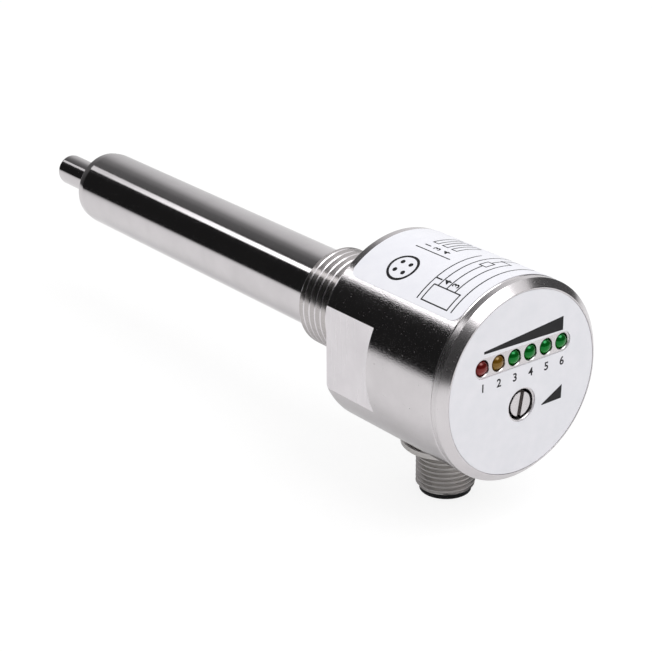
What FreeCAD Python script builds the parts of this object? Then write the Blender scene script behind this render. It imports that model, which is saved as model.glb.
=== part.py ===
import FreeCAD, Part
import os
from math import cos, pi, radians, sin, sqrt, tan

from FreeCAD import Vector

# Calorimetric flow sensor, in millimetres. The main axis is Y: the display face looks to -Y, the probe
# points to +Y and the connector hangs down to -Z. The origin is the centre of the sealing shoulder.

# Fits
fit_gap = 0.03
running_gap = 0.04
seat_gap = 0.05
film_gap = 0.02

# Housing
housing_diameter = 40.0
housing_length = 32.9
housing_wall = 3.0
rear_wall = 4.0
rear_edge = 0.3
seam_edge = 0.15
flat_depth = 2.0
flat_length = 14.4
shoulder_groove_gap = 0.7
shoulder_groove_depth = 0.5

# Front cap
cap_height = 3.14
cap_chamfer = 1.5
cap_rim = 0.25
cap_web = 4.0
spigot_length = 6.0
spigot_wall = 1.7
cap_seal_groove_depth = 1.0

# Labels
front_label_thickness = 0.2
front_label_recess = 0.25
front_label_gap = 0.08
side_label_thickness = 0.1
side_label_half_angle = 43.4
side_label_rear = 1.9
side_label_length = 30.7
side_label_corner = 2.0

# Lamps
lamp_count = 6
lamp_pitch = 4.0
lamp_row_height = 5.6
lamp_diameter = 3.0
lamp_rise = 0.55
lamp_hole_gap = 0.1
lamp_hole_edge = 0.12
lamp_flange_step = 0.25
lamp_flange_thickness = 0.95
lamp_lead_diameter = 0.5
lamp_lead_pitch = 2.54
lamp_window_margin = 0.45
lead_tail = 0.6

# Set-point adjuster
adjuster_height = -4.5
adjuster_head_diameter = 5.0
adjuster_head_thickness = 1.1
adjuster_head_recess = 0.15
adjuster_slot_width = 0.95
adjuster_slot_depth = 0.6
adjuster_slot_tilt = 10.0
adjuster_bore_diameter = 6.1
adjuster_bore_edge = 0.12
adjuster_label_margin = 0.4
stem_diameter = 3.0
clip_groove_diameter = 2.3
clip_thickness = 0.6
clip_diameter = 5.2
clip_mouth = 1.9
blade_width = 2.4
blade_thickness = 0.7
blade_reach = 0.9

# Potentiometer
trimmer_side = 6.6
trimmer_height = 3.2
trimmer_rotor_diameter = 3.8
trimmer_rotor_height = 2.0
trimmer_terminal_pitch = 2.54
trimmer_terminal_diameter = 0.6

# Boards
board_thickness = 1.6
board_hole_gap = 0.1
board_edge_gap = 0.4
standoff_length = 4.65
standoff_width = 3.5
standoff_stud_diameter = 2.0
standoff_stud_length = 2.0
standoff_spread = 17.0
standoff_height = -7.0
screw_diameter = 2.0
screw_depth = 2.4
screw_head_diameter = 3.8
screw_head_height = 1.3
main_board_rear_gap = 1.0
guide_wall = 3.5
guide_engagement = 1.5
guide_half_height = 4.0
header_count = 6
header_pitch = 2.54
header_pin = 0.64
header_block = 2.5
controller_side = 6.0
controller_height = 1.4
amplifier_width = 5.0
amplifier_length = 4.0
amplifier_height = 1.5
chip_spacing = 1.2

# Process nipple with a half-inch parallel pipe thread, drawn as plain rings at its pitch
thread_diameter = 20.955
thread_pitch = 1.814
thread_crest = 1.15
thread_root = 0.15
thread_flank_angle = 27.5
thread_length = 18.9
thread_lead = 0.35
relief_width = 2.5
relief_depth = 1.2775
nipple_wall = 1.0

# Probe
tube_diameter = 17.0
tube_length = 88.6
tube_shoulder = 0.73
tube_spigot_wall = 0.77
tube_end_wall = 2.5
tube_taper_length = 2.0
tube_taper_depth = 0.8
tube_end_round = 0.6
tube_spigot_length = 8.0
tip_diameter = 7.2
tip_length = 17.0
tip_wall = 0.5
tip_end_wall = 0.8
tip_end_round = 1.2
tip_collar_step = 1.0
tip_collar_thickness = 1.2

# Sensing strip and leads
strip_width = 4.4
strip_thickness = 0.6
strip_end_gap = 1.2
element_width = 2.0
element_length = 2.4
element_height = 0.9
element_margin = 0.3
element_distance = 9.0
sensor_lead_diameter = 0.8
sensor_lead_pitch = 1.0
lead_guide_length = 6.0

# Connector with a 12 mm fine thread, drawn at its major diameter
connector_setback = 15.07
connector_spot_depth = 1.2
connector_length = 10.6
connector_thread_diameter = 11.9
connector_thread_lead = 0.55
connector_relief_width = 0.8
connector_relief_depth = 0.65
connector_wall = 0.4
connector_flange_diameter = 18.0
connector_flange_thickness = 1.4
connector_flange_edge = 0.2
connector_spot_gap = 0.3
connector_spigot_wall = 0.7
connector_spigot_length = 3.8
connector_seal_section = 0.9
insert_lip_inset = 0.2
insert_lip_thickness = 1.1
insert_lip_round = 0.3
insert_wall = 0.67
insert_cavity_depth = 8.0
insert_rear = 1.0
key_width = 1.0
key_height = 0.6
key_setback = 0.6
pin_count = 4
pin_diameter = 1.0
pin_edge_gap = 0.4
pin_setback = 1.2
pin_tail = 2.0
pin_round = 0.2
connector_lead_diameter = 1.1

AXIS_Y = Vector(0, 1, 0)
AXIS_Z = Vector(0, 0, 1)
edge_match = 0.001

# Places worked out from the sizes
housing_radius = housing_diameter / 2
bore_radius = housing_radius - housing_wall
flat_x = housing_radius - flat_depth
seam_y = -housing_length
face_y = seam_y - cap_height
label_floor_y = face_y + front_label_recess
recess_radius = housing_radius - cap_chamfer - cap_rim
front_label_radius = recess_radius - front_label_gap
web_rear_y = label_floor_y + cap_web
spigot_end_y = seam_y + spigot_length
cavity_rear_y = -rear_wall
spigot_radius = bore_radius - fit_gap
spigot_bore_radius = spigot_radius - spigot_wall
cap_seal_section = cap_seal_groove_depth + fit_gap - 2 * seat_gap
lamp_hole_radius = lamp_diameter / 2 + lamp_hole_gap
display_front_y = web_rear_y + standoff_length
display_rear_y = display_front_y + board_thickness
display_radius = spigot_bore_radius - board_edge_gap
trimmer_front_y = display_front_y - trimmer_height
head_front_y = label_floor_y + adjuster_head_recess
head_rear_y = head_front_y + adjuster_head_thickness
adjuster_seal_section = (adjuster_bore_diameter - stem_diameter) / 2 - 2 * seat_gap
adjuster_seal_y = head_rear_y + seat_gap + adjuster_seal_section / 2
adjuster_floor_y = adjuster_seal_y + adjuster_seal_section / 2 + seat_gap
clip_front_y = web_rear_y + seat_gap
sensor_lead_radius = sensor_lead_diameter / 2
board_top_z = -sensor_lead_radius - film_gap
board_bottom_z = board_top_z - board_thickness
main_half_width = bore_radius - guide_wall
main_front_y = display_rear_y + board_edge_gap
main_rear_y = cavity_rear_y - main_board_rear_gap
header_pin_z = board_top_z + header_block / 2
controller_rear_y = main_front_y + header_block + chip_spacing + controller_side
thread_radius = thread_diameter / 2
thread_flank = (thread_pitch - thread_crest - thread_root) / 2
thread_root_radius = thread_radius - thread_flank / tan(radians(thread_flank_angle))
relief_radius = thread_radius - relief_depth
shoulder_groove_radius = thread_radius + shoulder_groove_gap
shoulder_groove_y = -shoulder_groove_depth
tube_radius = tube_diameter / 2
tube_spigot_radius = tube_radius - tube_shoulder
tube_bore_radius = tube_spigot_radius - tube_spigot_wall
nipple_bore_radius = tube_spigot_radius + fit_gap
nipple_spigot_radius = nipple_bore_radius + nipple_wall
tube_end = thread_length + tube_length
tip_end = tube_end + tip_length
tip_radius = tip_diameter / 2
tip_collar_y = tube_end - tube_end_wall - tip_collar_thickness
strip_end_y = tip_end - tip_end_wall - strip_end_gap
strip_start_y = tip_collar_y - lead_guide_length
heated_y = strip_end_y - element_margin - element_length
reference_y = heated_y - element_distance
connector_y = -connector_setback
seat_z = -(housing_radius - connector_spot_depth)
shell_end_z = seat_z - connector_length
flange_radius = connector_flange_diameter / 2
flange_bottom_z = seat_z - connector_flange_thickness
shell_thread_radius = connector_thread_diameter / 2
shell_relief_radius = shell_thread_radius - connector_relief_depth
shell_bore_radius = shell_relief_radius - connector_wall
shell_spigot_radius = shell_bore_radius + connector_spigot_wall
spigot_top_z = seat_z + connector_spigot_length
insert_top_z = spigot_top_z + insert_rear
insert_bottom_z = shell_end_z - insert_lip_thickness
insert_radius = shell_bore_radius - fit_gap
insert_lip_radius = shell_thread_radius - connector_thread_lead - insert_lip_inset
insert_cavity_radius = insert_radius - insert_wall
cavity_top_z = insert_bottom_z + insert_cavity_depth
pin_radius = pin_diameter / 2
pin_circle_radius = insert_cavity_radius - pin_edge_gap - pin_radius
pin_bottom_z = insert_bottom_z + pin_setback
pin_top_z = insert_top_z + pin_tail


def turned(profile, x=0.0, z=0.0):
    """Solid turned about a line parallel to Y from (radius, y) points."""
    points = [Vector(x + radius, y, z) for radius, y in profile]
    face = Part.Face(Part.makePolygon(points + points[:1]))
    return face.revolve(Vector(x, 0, z), AXIS_Y, 360)


def turned_upright(profile):
    """Solid turned about the connector's axis from (radius, z) points."""
    points = [Vector(radius, connector_y, z) for radius, z in profile]
    face = Part.Face(Part.makePolygon(points + points[:1]))
    return face.revolve(Vector(0, connector_y, 0), AXIS_Z, 360)


def rod(radius, start_y, end_y, x=0.0, z=0.0):
    """Round bar along Y."""
    return Part.makeCylinder(radius, end_y - start_y, Vector(x, start_y, z), AXIS_Y)


def post(radius, low_z, high_z, x=0.0, y=0.0):
    """Round bar along Z."""
    return Part.makeCylinder(radius, high_z - low_z, Vector(x, y, low_z), AXIS_Z)


def block(low, high):
    """Box from its lowest to its highest corner."""
    size = [top - bottom for bottom, top in zip(low, high)]
    return Part.makeBox(*size, Vector(*low))


def countersink(radius, edge, x, z):
    """Cone that breaks the edge of a hole in the cap's face."""
    return Part.makeCone(radius + edge, radius, edge, Vector(x, label_floor_y, z), AXIS_Y)


def ring(mean_radius, section, centre, axis):
    """Round seal ring."""
    return Part.makeTorus(mean_radius, section / 2, centre, axis)


def round_edge(shape, radius, centre, rounding):
    """Round the circular edge that has the given radius and centre."""
    circles = [edge for edge in shape.Edges if isinstance(edge.Curve, Part.Circle)]
    near = [edge for edge in circles if (edge.Curve.Center - centre).Length < edge_match]
    return shape.makeFillet(rounding, [edge for edge in near if abs(edge.Curve.Radius - radius) < edge_match])


def lamp_places():
    """Middle of each lamp along X, from left to right."""
    first = -(lamp_count - 1) / 2 * lamp_pitch
    return [first + lamp_pitch * i for i in range(lamp_count)]


def standoff_places():
    return [-standoff_spread / 2, standoff_spread / 2]


def pin_places():
    """Contact pins on the connector's pitch circle, from +X round to -Y."""
    turns = [2 * pi * i / pin_count for i in range(pin_count)]
    return [(pin_circle_radius * cos(t), connector_y + pin_circle_radius * sin(t)) for t in turns]


def header_places():
    first = -(header_count - 1) / 2 * header_pitch
    return [first + header_pitch * i for i in range(header_count)]


def sensor_lead_places():
    """Two inner leads for the heated element and two outer ones for the reference."""
    return [sensor_lead_pitch * step for step in (-1.5, -0.5, 0.5, 1.5)]


def terminal_places():
    """Three potentiometer terminals as (x, z)."""
    return [
        (-trimmer_terminal_pitch, adjuster_height - trimmer_terminal_pitch / 2),
        (0.0, adjuster_height + trimmer_terminal_pitch / 2),
        (trimmer_terminal_pitch, adjuster_height - trimmer_terminal_pitch / 2),
    ]


def housing_body():
    """Turned cup with two wrench flats, a sealing shoulder and a spot-faced bore for the connector."""
    hole_radius = nipple_spigot_radius + fit_gap
    cup = turned([
        (hole_radius, shoulder_groove_y),
        (shoulder_groove_radius, shoulder_groove_y),
        (shoulder_groove_radius, 0),
        (housing_radius - rear_edge, 0),
        (housing_radius, -rear_edge),
        (housing_radius, seam_y + seam_edge),
        (housing_radius - seam_edge, seam_y),
        (bore_radius, seam_y),
        (bore_radius, cavity_rear_y),
        (hole_radius, cavity_rear_y),
    ])
    for side in (-1, 1):
        near, far = sorted((side * flat_x, side * housing_diameter))
        low = (near, -flat_length, -housing_diameter)
        high = (far, housing_diameter, housing_diameter)
        cup = cup.cut(block(low, high))
    spot_radius = flange_radius + connector_spot_gap
    seal_radius = shell_spigot_radius + connector_seal_section + 3 * fit_gap
    seal_floor_z = seat_z + connector_seal_section + seat_gap
    bores = [(spot_radius, seat_z), (seal_radius, seal_floor_z), (shell_spigot_radius + fit_gap, 0)]
    return cup.cut([post(radius, -housing_diameter, top, 0, connector_y) for radius, top in bores])


def front_cap():
    """Turned lid: chamfered rim, label recess, thick web and a spigot with a seal groove."""
    groove_radius = spigot_radius - cap_seal_groove_depth
    groove_half = cap_seal_section / 2 + seat_gap
    groove_y = seam_y + spigot_length / 2
    lid = turned([
        (0, label_floor_y),
        (recess_radius, label_floor_y),
        (recess_radius, face_y),
        (housing_radius - cap_chamfer, face_y),
        (housing_radius, face_y + cap_chamfer),
        (housing_radius, seam_y - seam_edge),
        (housing_radius - seam_edge, seam_y),
        (spigot_radius, seam_y),
        (spigot_radius, groove_y - groove_half),
        (groove_radius, groove_y - groove_half),
        (groove_radius, groove_y + groove_half),
        (spigot_radius, groove_y + groove_half),
        (spigot_radius, spigot_end_y),
        (spigot_bore_radius, spigot_end_y),
        (spigot_bore_radius, web_rear_y),
        (0, web_rear_y),
    ])
    holes = []
    for x in lamp_places():
        holes.append(rod(lamp_hole_radius, face_y, web_rear_y, x, lamp_row_height))
        holes.append(countersink(lamp_hole_radius, lamp_hole_edge, x, lamp_row_height))
    holes.append(rod(adjuster_bore_diameter / 2, face_y, adjuster_floor_y, 0, adjuster_height))
    holes.append(countersink(adjuster_bore_diameter / 2, adjuster_bore_edge, 0, adjuster_height))
    holes.append(rod(stem_diameter / 2 + running_gap, face_y, web_rear_y, 0, adjuster_height))
    stud_radius = standoff_stud_diameter / 2 + fit_gap
    stud_floor_y = web_rear_y - standoff_stud_length
    holes += [rod(stud_radius, stud_floor_y, web_rear_y, x, standoff_height) for x in standoff_places()]
    return lid.cut(holes)


def cap_seal():
    """Ring in the groove of the cap's spigot."""
    mean_radius = spigot_radius - cap_seal_groove_depth + seat_gap + cap_seal_section / 2
    return ring(mean_radius, cap_seal_section, Vector(0, seam_y + spigot_length / 2, 0), AXIS_Y)


def lamp_window():
    """Slot with round ends that shows the lamps through the label."""
    radius = lamp_hole_radius + lamp_window_margin
    reach = lamp_places()[-1]
    low = (-reach, face_y, lamp_row_height - radius)
    high = (reach, label_floor_y, lamp_row_height + radius)
    ends = [rod(radius, face_y, label_floor_y, x, lamp_row_height) for x in (-reach, reach)]
    return block(low, high).fuse(ends)


def front_label():
    """Film disc in the cap's recess."""
    disc = rod(front_label_radius, label_floor_y - front_label_thickness, label_floor_y)
    hole_radius = adjuster_bore_diameter / 2 + adjuster_label_margin
    hole = rod(hole_radius, face_y, label_floor_y, 0, adjuster_height)
    return disc.cut([lamp_window(), hole])


def side_label():
    """Film wrapped over the top of the housing, with rounded corners."""
    inner = housing_radius + film_gap
    outer = inner + side_label_thickness
    rear_y = -side_label_rear
    front_y = rear_y - side_label_length
    sleeve = rod(outer, front_y, rear_y).cut(rod(inner, front_y, rear_y))
    half_width = outer * sin(radians(side_label_half_angle))
    patch = block((-half_width, front_y, 0), (half_width, rear_y, housing_diameter))
    upright = [edge for edge in patch.Edges if edge.BoundBox.ZLength > housing_radius]
    return sleeve.common(patch.makeFillet(side_label_corner, upright))


def lamp(x):
    """Domed lamp with its flange behind the cap's web and two leads through the board."""
    radius = lamp_diameter / 2
    dome_y = label_floor_y - lamp_rise + radius
    flange_rear_y = web_rear_y + lamp_flange_thickness
    dome = Part.makeSphere(radius, Vector(x, dome_y, lamp_row_height))
    body = rod(radius, dome_y, flange_rear_y, x, lamp_row_height)
    flange = rod(radius + lamp_flange_step, web_rear_y, flange_rear_y, x, lamp_row_height)
    lead_end_y = display_rear_y + lead_tail
    leads = []
    for side in (-1, 1):
        z = lamp_row_height + side * lamp_lead_pitch / 2
        leads.append(rod(lamp_lead_diameter / 2, flange_rear_y, lead_end_y, x, z))
    return dome.fuse([body, flange] + leads).removeSplitter()


def red_led():
    return lamp(lamp_places()[0])


def amber_led():
    return lamp(lamp_places()[1])


def green_leds():
    return Part.makeCompound([lamp(x) for x in lamp_places()[2:]])


def tilted(shape):
    """Turn a piece of the adjuster to the slot's angle at rest."""
    return shape.rotated(Vector(0, 0, adjuster_height), AXIS_Y, adjuster_slot_tilt)


def adjuster_spindle():
    """Slotted head, stem with a clip groove and a blade for the potentiometer."""
    head_radius = adjuster_head_diameter / 2
    stem_radius = stem_diameter / 2
    stem_end_y = trimmer_front_y - seat_gap
    groove_end_y = clip_front_y + clip_thickness + seat_gap
    spindle = turned([
        (0, head_front_y),
        (head_radius, head_front_y),
        (head_radius, head_rear_y),
        (stem_radius, head_rear_y),
        (stem_radius, clip_front_y - seat_gap),
        (clip_groove_diameter / 2, clip_front_y - seat_gap),
        (clip_groove_diameter / 2, groove_end_y),
        (stem_radius, groove_end_y),
        (stem_radius, stem_end_y),
        (0, stem_end_y),
    ], 0, adjuster_height)
    low = (-blade_thickness / 2, stem_end_y, adjuster_height - blade_width / 2)
    high = (blade_thickness / 2, trimmer_front_y + blade_reach, adjuster_height + blade_width / 2)
    slot_low = (-adjuster_slot_width / 2, face_y, adjuster_height - adjuster_head_diameter)
    slot_floor_y = head_front_y + adjuster_slot_depth
    slot_high = (adjuster_slot_width / 2, slot_floor_y, adjuster_height + adjuster_head_diameter)
    return tilted(spindle.fuse(block(low, high)).cut(block(slot_low, slot_high)))


def adjuster_seal():
    """Ring round the stem, under the adjuster's head."""
    mean_radius = (stem_diameter + adjuster_bore_diameter) / 4
    return ring(mean_radius, adjuster_seal_section, Vector(0, adjuster_seal_y, adjuster_height), AXIS_Y)


def spindle_clip():
    """Open retaining clip in the stem's groove."""
    clip_end_y = clip_front_y + clip_thickness
    disc = rod(clip_diameter / 2, clip_front_y, clip_end_y, 0, adjuster_height)
    hole = rod(clip_groove_diameter / 2 + fit_gap, clip_front_y, clip_end_y, 0, adjuster_height)
    mouth_low = (0, clip_front_y, adjuster_height - clip_mouth / 2)
    mouth_high = (clip_diameter, clip_end_y, adjuster_height + clip_mouth / 2)
    return disc.cut([hole, block(mouth_low, mouth_high)])


def trimmer_body():
    """Potentiometer case with a round pocket for the rotor and three terminals."""
    half = trimmer_side / 2
    low = (-half, trimmer_front_y, adjuster_height - half)
    high = (half, display_front_y, adjuster_height + half)
    pocket_end_y = trimmer_front_y + trimmer_rotor_height + seat_gap
    pocket = rod(trimmer_rotor_diameter / 2 + running_gap, trimmer_front_y, pocket_end_y, 0, adjuster_height)
    radius = trimmer_terminal_diameter / 2
    tail_y = display_rear_y + lead_tail
    terminals = [rod(radius, display_front_y, tail_y, x, z) for x, z in terminal_places()]
    return block(low, high).cut(pocket).fuse(terminals)


def trimmer_rotor():
    """Potentiometer rotor, slotted for the spindle's blade."""
    rotor_end_y = trimmer_front_y + trimmer_rotor_height
    disc = rod(trimmer_rotor_diameter / 2, trimmer_front_y, rotor_end_y, 0, adjuster_height)
    half = blade_thickness / 2 + seat_gap
    low = (-half, trimmer_front_y, adjuster_height - trimmer_rotor_diameter)
    high = (half, trimmer_front_y + blade_reach + seat_gap, adjuster_height + trimmer_rotor_diameter)
    return tilted(disc.cut(block(low, high)))


def display_board():
    """Round board with holes for every lead, terminal, header pin and screw."""
    board = rod(display_radius, display_front_y, display_rear_y)
    holes = []
    lead_radius = lamp_lead_diameter / 2 + board_hole_gap
    for x in lamp_places():
        for side in (-1, 1):
            z = lamp_row_height + side * lamp_lead_pitch / 2
            holes.append(rod(lead_radius, display_front_y, display_rear_y, x, z))
    terminal_radius = trimmer_terminal_diameter / 2 + board_hole_gap
    holes += [rod(terminal_radius, display_front_y, display_rear_y, x, z) for x, z in terminal_places()]
    header_radius = header_pin / sqrt(2) + board_hole_gap
    holes += [rod(header_radius, display_front_y, display_rear_y, x, header_pin_z) for x in header_places()]
    screw_radius = screw_diameter / 2 + board_hole_gap
    for x in standoff_places():
        holes.append(rod(screw_radius, display_front_y, display_rear_y, x, standoff_height))
    return board.cut(holes)


def board_standoffs():
    """Hexagonal standoffs with a stud in the cap and a tapped hole for the screw."""
    corner = standoff_width / sqrt(3)
    turns = [radians(60 * i) for i in range(6)]
    pieces = []
    for x in standoff_places():
        corners = [Vector(x + corner * cos(t), web_rear_y, standoff_height + corner * sin(t)) for t in turns]
        prism = Part.Face(Part.makePolygon(corners + corners[:1])).extrude(Vector(0, standoff_length, 0))
        stud_end_y = web_rear_y - standoff_stud_length + seat_gap
        stud = rod(standoff_stud_diameter / 2, stud_end_y, web_rear_y, x, standoff_height)
        hole_radius = screw_diameter / 2 + fit_gap
        hole_start_y = display_front_y - screw_depth - seat_gap
        hole = rod(hole_radius, hole_start_y, display_front_y, x, standoff_height)
        pieces.append(prism.fuse(stud).cut(hole))
    return Part.makeCompound(pieces)


def board_screws():
    """Pan-head screws from the back of the display board into the standoffs."""
    pieces = []
    for x in standoff_places():
        shank = rod(screw_diameter / 2, display_front_y - screw_depth, display_rear_y, x, standoff_height)
        head_end_y = display_rear_y + screw_head_height
        head = rod(screw_head_diameter / 2, display_rear_y, head_end_y, x, standoff_height)
        pieces.append(shank.fuse(head))
    return Part.makeCompound(pieces)


def main_board():
    """Long board along the axis, with holes for the header's pins."""
    low = (-main_half_width, main_front_y, board_bottom_z)
    high = (main_half_width, main_rear_y, board_top_z)
    radius = header_pin / sqrt(2) + board_hole_gap
    pin_y = main_front_y + header_block / 2
    holes = [post(radius, board_bottom_z, board_top_z, x, pin_y) for x in header_places()]
    return block(low, high).cut(holes)


def board_header():
    """Angled pin strip: one moulded block, pins forward to one board and down through the other."""
    half = header_count * header_pitch / 2
    low = (-half, main_front_y, board_top_z)
    high = (half, main_front_y + header_block, board_top_z + header_block)
    middle_y = main_front_y + header_block / 2
    pin_half = header_pin / 2
    pins = []
    for x in header_places():
        front_low = (x - pin_half, display_front_y, header_pin_z - pin_half)
        front_high = (x + pin_half, middle_y, header_pin_z + pin_half)
        down_low = (x - pin_half, middle_y - pin_half, board_bottom_z - lead_tail)
        down_high = (x + pin_half, middle_y + pin_half, header_pin_z)
        pins += [block(front_low, front_high), block(down_low, down_high)]
    return block(low, high).fuse(pins)


def chip(x, y, size_x, size_y, height):
    """Moulded package on top of the main board."""
    low = (x - size_x / 2, y - size_y / 2, board_top_z)
    high = (x + size_x / 2, y + size_y / 2, board_top_z + height)
    return block(low, high)


def board_chips():
    """Controller in the middle of the board with an amplifier on each side of it."""
    y = controller_rear_y - controller_side / 2
    amplifier_x = (controller_side + amplifier_width) / 2 + chip_spacing
    pieces = [chip(0, y, controller_side, controller_side, controller_height)]
    for x in (-amplifier_x, amplifier_x):
        pieces.append(chip(x, y, amplifier_width, amplifier_length, amplifier_height))
    return Part.makeCompound(pieces)


def board_guides():
    """Moulded rails on the bore's wall, each with a groove for one edge of the main board."""
    middle_z = (board_top_z + board_bottom_z) / 2
    wall = rod(bore_radius - seat_gap, main_front_y, cavity_rear_y)
    inner_x = main_half_width - guide_engagement
    groove_x = main_half_width + seat_gap
    rails = []
    for side in (-1, 1):
        edges = sorted((side * inner_x, side * housing_radius))
        groove_edges = sorted((0, side * groove_x))
        low = (edges[0], main_front_y, middle_z - guide_half_height)
        high = (edges[1], cavity_rear_y, middle_z + guide_half_height)
        groove_low = (groove_edges[0], main_front_y, board_bottom_z - seat_gap)
        groove_high = (groove_edges[1], main_rear_y + seat_gap, board_top_z + seat_gap)
        rails.append(wall.common(block(low, high)).cut(block(groove_low, groove_high)))
    return Part.makeCompound(rails)


def thread_rings(start_y, end_y):
    """Outline of a thread drawn as rings, with a full crest at both ends."""
    count = int((end_y - start_y - thread_crest) / thread_pitch)
    first_crest_end = (start_y + end_y - count * thread_pitch + thread_crest) / 2
    points = [(thread_radius, start_y)]
    for i in range(count):
        groove_start = first_crest_end + thread_pitch * i
        groove_end = groove_start + thread_pitch - thread_crest
        points += [
            (thread_radius, groove_start),
            (thread_root_radius, groove_start + thread_flank),
            (thread_root_radius, groove_end - thread_flank),
            (thread_radius, groove_end),
        ]
    return points + [(thread_radius, end_y)]


def process_nipple():
    """Hollow nipple: spigot in the rear wall, relief groove, thread and lead-in."""
    return turned([
        (nipple_bore_radius, cavity_rear_y),
        (nipple_spigot_radius, cavity_rear_y),
        (nipple_spigot_radius, shoulder_groove_y),
        (relief_radius, shoulder_groove_y),
        (relief_radius, relief_width - relief_depth),
        *thread_rings(relief_width, thread_length - thread_lead),
        (thread_radius - thread_lead, thread_length),
        (nipple_bore_radius, thread_length),
    ])


def probe_tube():
    """Closed tube with a tapered and rounded end, stepped at the back to seat in the nipple."""
    hole_radius = tip_radius + fit_gap
    taper_end_radius = tube_radius - tube_taper_depth
    tube = turned([
        (tube_bore_radius, thread_length - tube_spigot_length),
        (tube_spigot_radius, thread_length - tube_spigot_length),
        (tube_spigot_radius, thread_length),
        (tube_radius, thread_length),
        (tube_radius, tube_end - tube_taper_length),
        (taper_end_radius, tube_end),
        (hole_radius, tube_end),
        (hole_radius, tube_end - tube_end_wall),
        (tube_bore_radius, tube_end - tube_end_wall),
    ])
    return round_edge(tube, taper_end_radius, Vector(0, tube_end, 0), tube_end_round)


def probe_tip():
    """Closed thimble with a collar that seats behind the tube's end wall."""
    bore_end_y = tip_end - tip_end_wall
    collar_radius = tip_radius + tip_collar_step
    collar_end_y = tip_collar_y + tip_collar_thickness
    thimble = turned([
        (tip_radius - tip_wall, tip_collar_y),
        (collar_radius, tip_collar_y),
        (collar_radius, collar_end_y),
        (tip_radius, collar_end_y),
        (tip_radius, tip_end),
        (0, tip_end),
        (0, bore_end_y),
        (tip_radius - tip_wall, bore_end_y),
    ])
    return round_edge(thimble, tip_radius, Vector(0, tip_end, 0), tip_end_round)


def sensor_carrier():
    """Ceramic strip from the lead guide to the end of the tip."""
    low = (-strip_width / 2, strip_start_y, board_top_z - strip_thickness)
    high = (strip_width / 2, strip_end_y, board_top_z)
    return block(low, high)


def element(start_y, low_z):
    """Sensing chip that starts at the given place along the strip."""
    low = (-element_width / 2, start_y, low_z)
    high = (element_width / 2, start_y + element_length, low_z + element_height)
    return block(low, high)


def heated_element():
    return element(heated_y, board_top_z)


def reference_element():
    return element(reference_y, board_top_z - strip_thickness - element_height)


def sensor_leads():
    """Four leads from the main board, through the tube, to the two elements."""
    ends = [reference_y, heated_y, heated_y, reference_y]
    start_y = controller_rear_y + chip_spacing
    places = sensor_lead_places()
    return Part.makeCompound([rod(sensor_lead_radius, start_y, end, x) for x, end in zip(places, ends)])


def lead_guide():
    """Plug behind the tip's collar, slotted for the strip and its leads."""
    plug = rod(tube_bore_radius - fit_gap, strip_start_y, tip_collar_y)
    half = strip_width / 2 + seat_gap
    low = (-half, strip_start_y, board_top_z - strip_thickness - seat_gap)
    high = (half, tip_collar_y, sensor_lead_radius + seat_gap)
    return plug.cut(block(low, high))


def connector_shell():
    """Flange on the housing's spot face, spigot in its wall and the thread below."""
    edge = connector_flange_edge
    lead = connector_thread_lead
    relief_z = flange_bottom_z - connector_relief_width
    return turned_upright([
        (shell_bore_radius, spigot_top_z),
        (shell_spigot_radius, spigot_top_z),
        (shell_spigot_radius, seat_z),
        (flange_radius - edge, seat_z),
        (flange_radius, seat_z - edge),
        (flange_radius, flange_bottom_z + edge),
        (flange_radius - edge, flange_bottom_z),
        (shell_relief_radius, flange_bottom_z),
        (shell_relief_radius, relief_z),
        (shell_thread_radius, relief_z),
        (shell_thread_radius, shell_end_z + lead),
        (shell_thread_radius - lead, shell_end_z),
        (shell_bore_radius, shell_end_z),
    ])


def connector_seal():
    """Ring in the housing's counterbore, under the flange."""
    mean_radius = shell_spigot_radius + fit_gap + connector_seal_section / 2
    height = seat_z + (connector_seal_section + seat_gap) / 2
    return ring(mean_radius, connector_seal_section, Vector(0, connector_y, height), AXIS_Z)


def connector_insert():
    """Moulded insert with a lip over the shell's end, a round cavity and a coding key."""
    insert = turned_upright([
        (0, insert_top_z),
        (insert_radius, insert_top_z),
        (insert_radius, shell_end_z),
        (insert_lip_radius, shell_end_z),
        (insert_lip_radius, insert_bottom_z),
        (insert_cavity_radius, insert_bottom_z),
        (insert_cavity_radius, cavity_top_z),
        (0, cavity_top_z),
    ])
    lip_centre = Vector(0, connector_y, insert_bottom_z)
    insert = round_edge(insert, insert_lip_radius, lip_centre, insert_lip_round)
    key_x = insert_cavity_radius - key_height
    key_low = (key_x, connector_y - key_width / 2, insert_bottom_z + key_setback)
    key_high = (insert_radius, connector_y + key_width / 2, cavity_top_z)
    turn = 180 / pin_count
    key = block(key_low, key_high).rotated(Vector(0, connector_y, 0), AXIS_Z, turn)
    hole_radius = pin_radius + fit_gap
    holes = [post(hole_radius, cavity_top_z, insert_top_z, x, y) for x, y in pin_places()]
    return insert.fuse(key).cut(holes)


def connector_pins():
    """Round contact pins with rounded tips."""
    pins = []
    for x, y in pin_places():
        pin = post(pin_radius, pin_bottom_z, pin_top_z, x, y)
        pins.append(round_edge(pin, pin_radius, Vector(x, y, pin_bottom_z), pin_round))
    return Part.makeCompound(pins)


def connector_leads():
    """Short leads from the pins up to the main board."""
    radius = connector_lead_diameter / 2
    return Part.makeCompound([post(radius, pin_top_z, board_bottom_z, x, y) for x, y in pin_places()])


PIECES = [
    housing_body, front_cap, cap_seal, front_label, side_label,
    red_led, amber_led, green_leds,
    adjuster_spindle, adjuster_seal, spindle_clip, trimmer_body, trimmer_rotor,
    display_board, board_standoffs, board_screws, main_board, board_header, board_chips, board_guides,
    process_nipple, probe_tube, probe_tip,
    sensor_carrier, heated_element, reference_element, sensor_leads, lead_guide,
    connector_shell, connector_seal, connector_insert, connector_pins, connector_leads,
]

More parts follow.
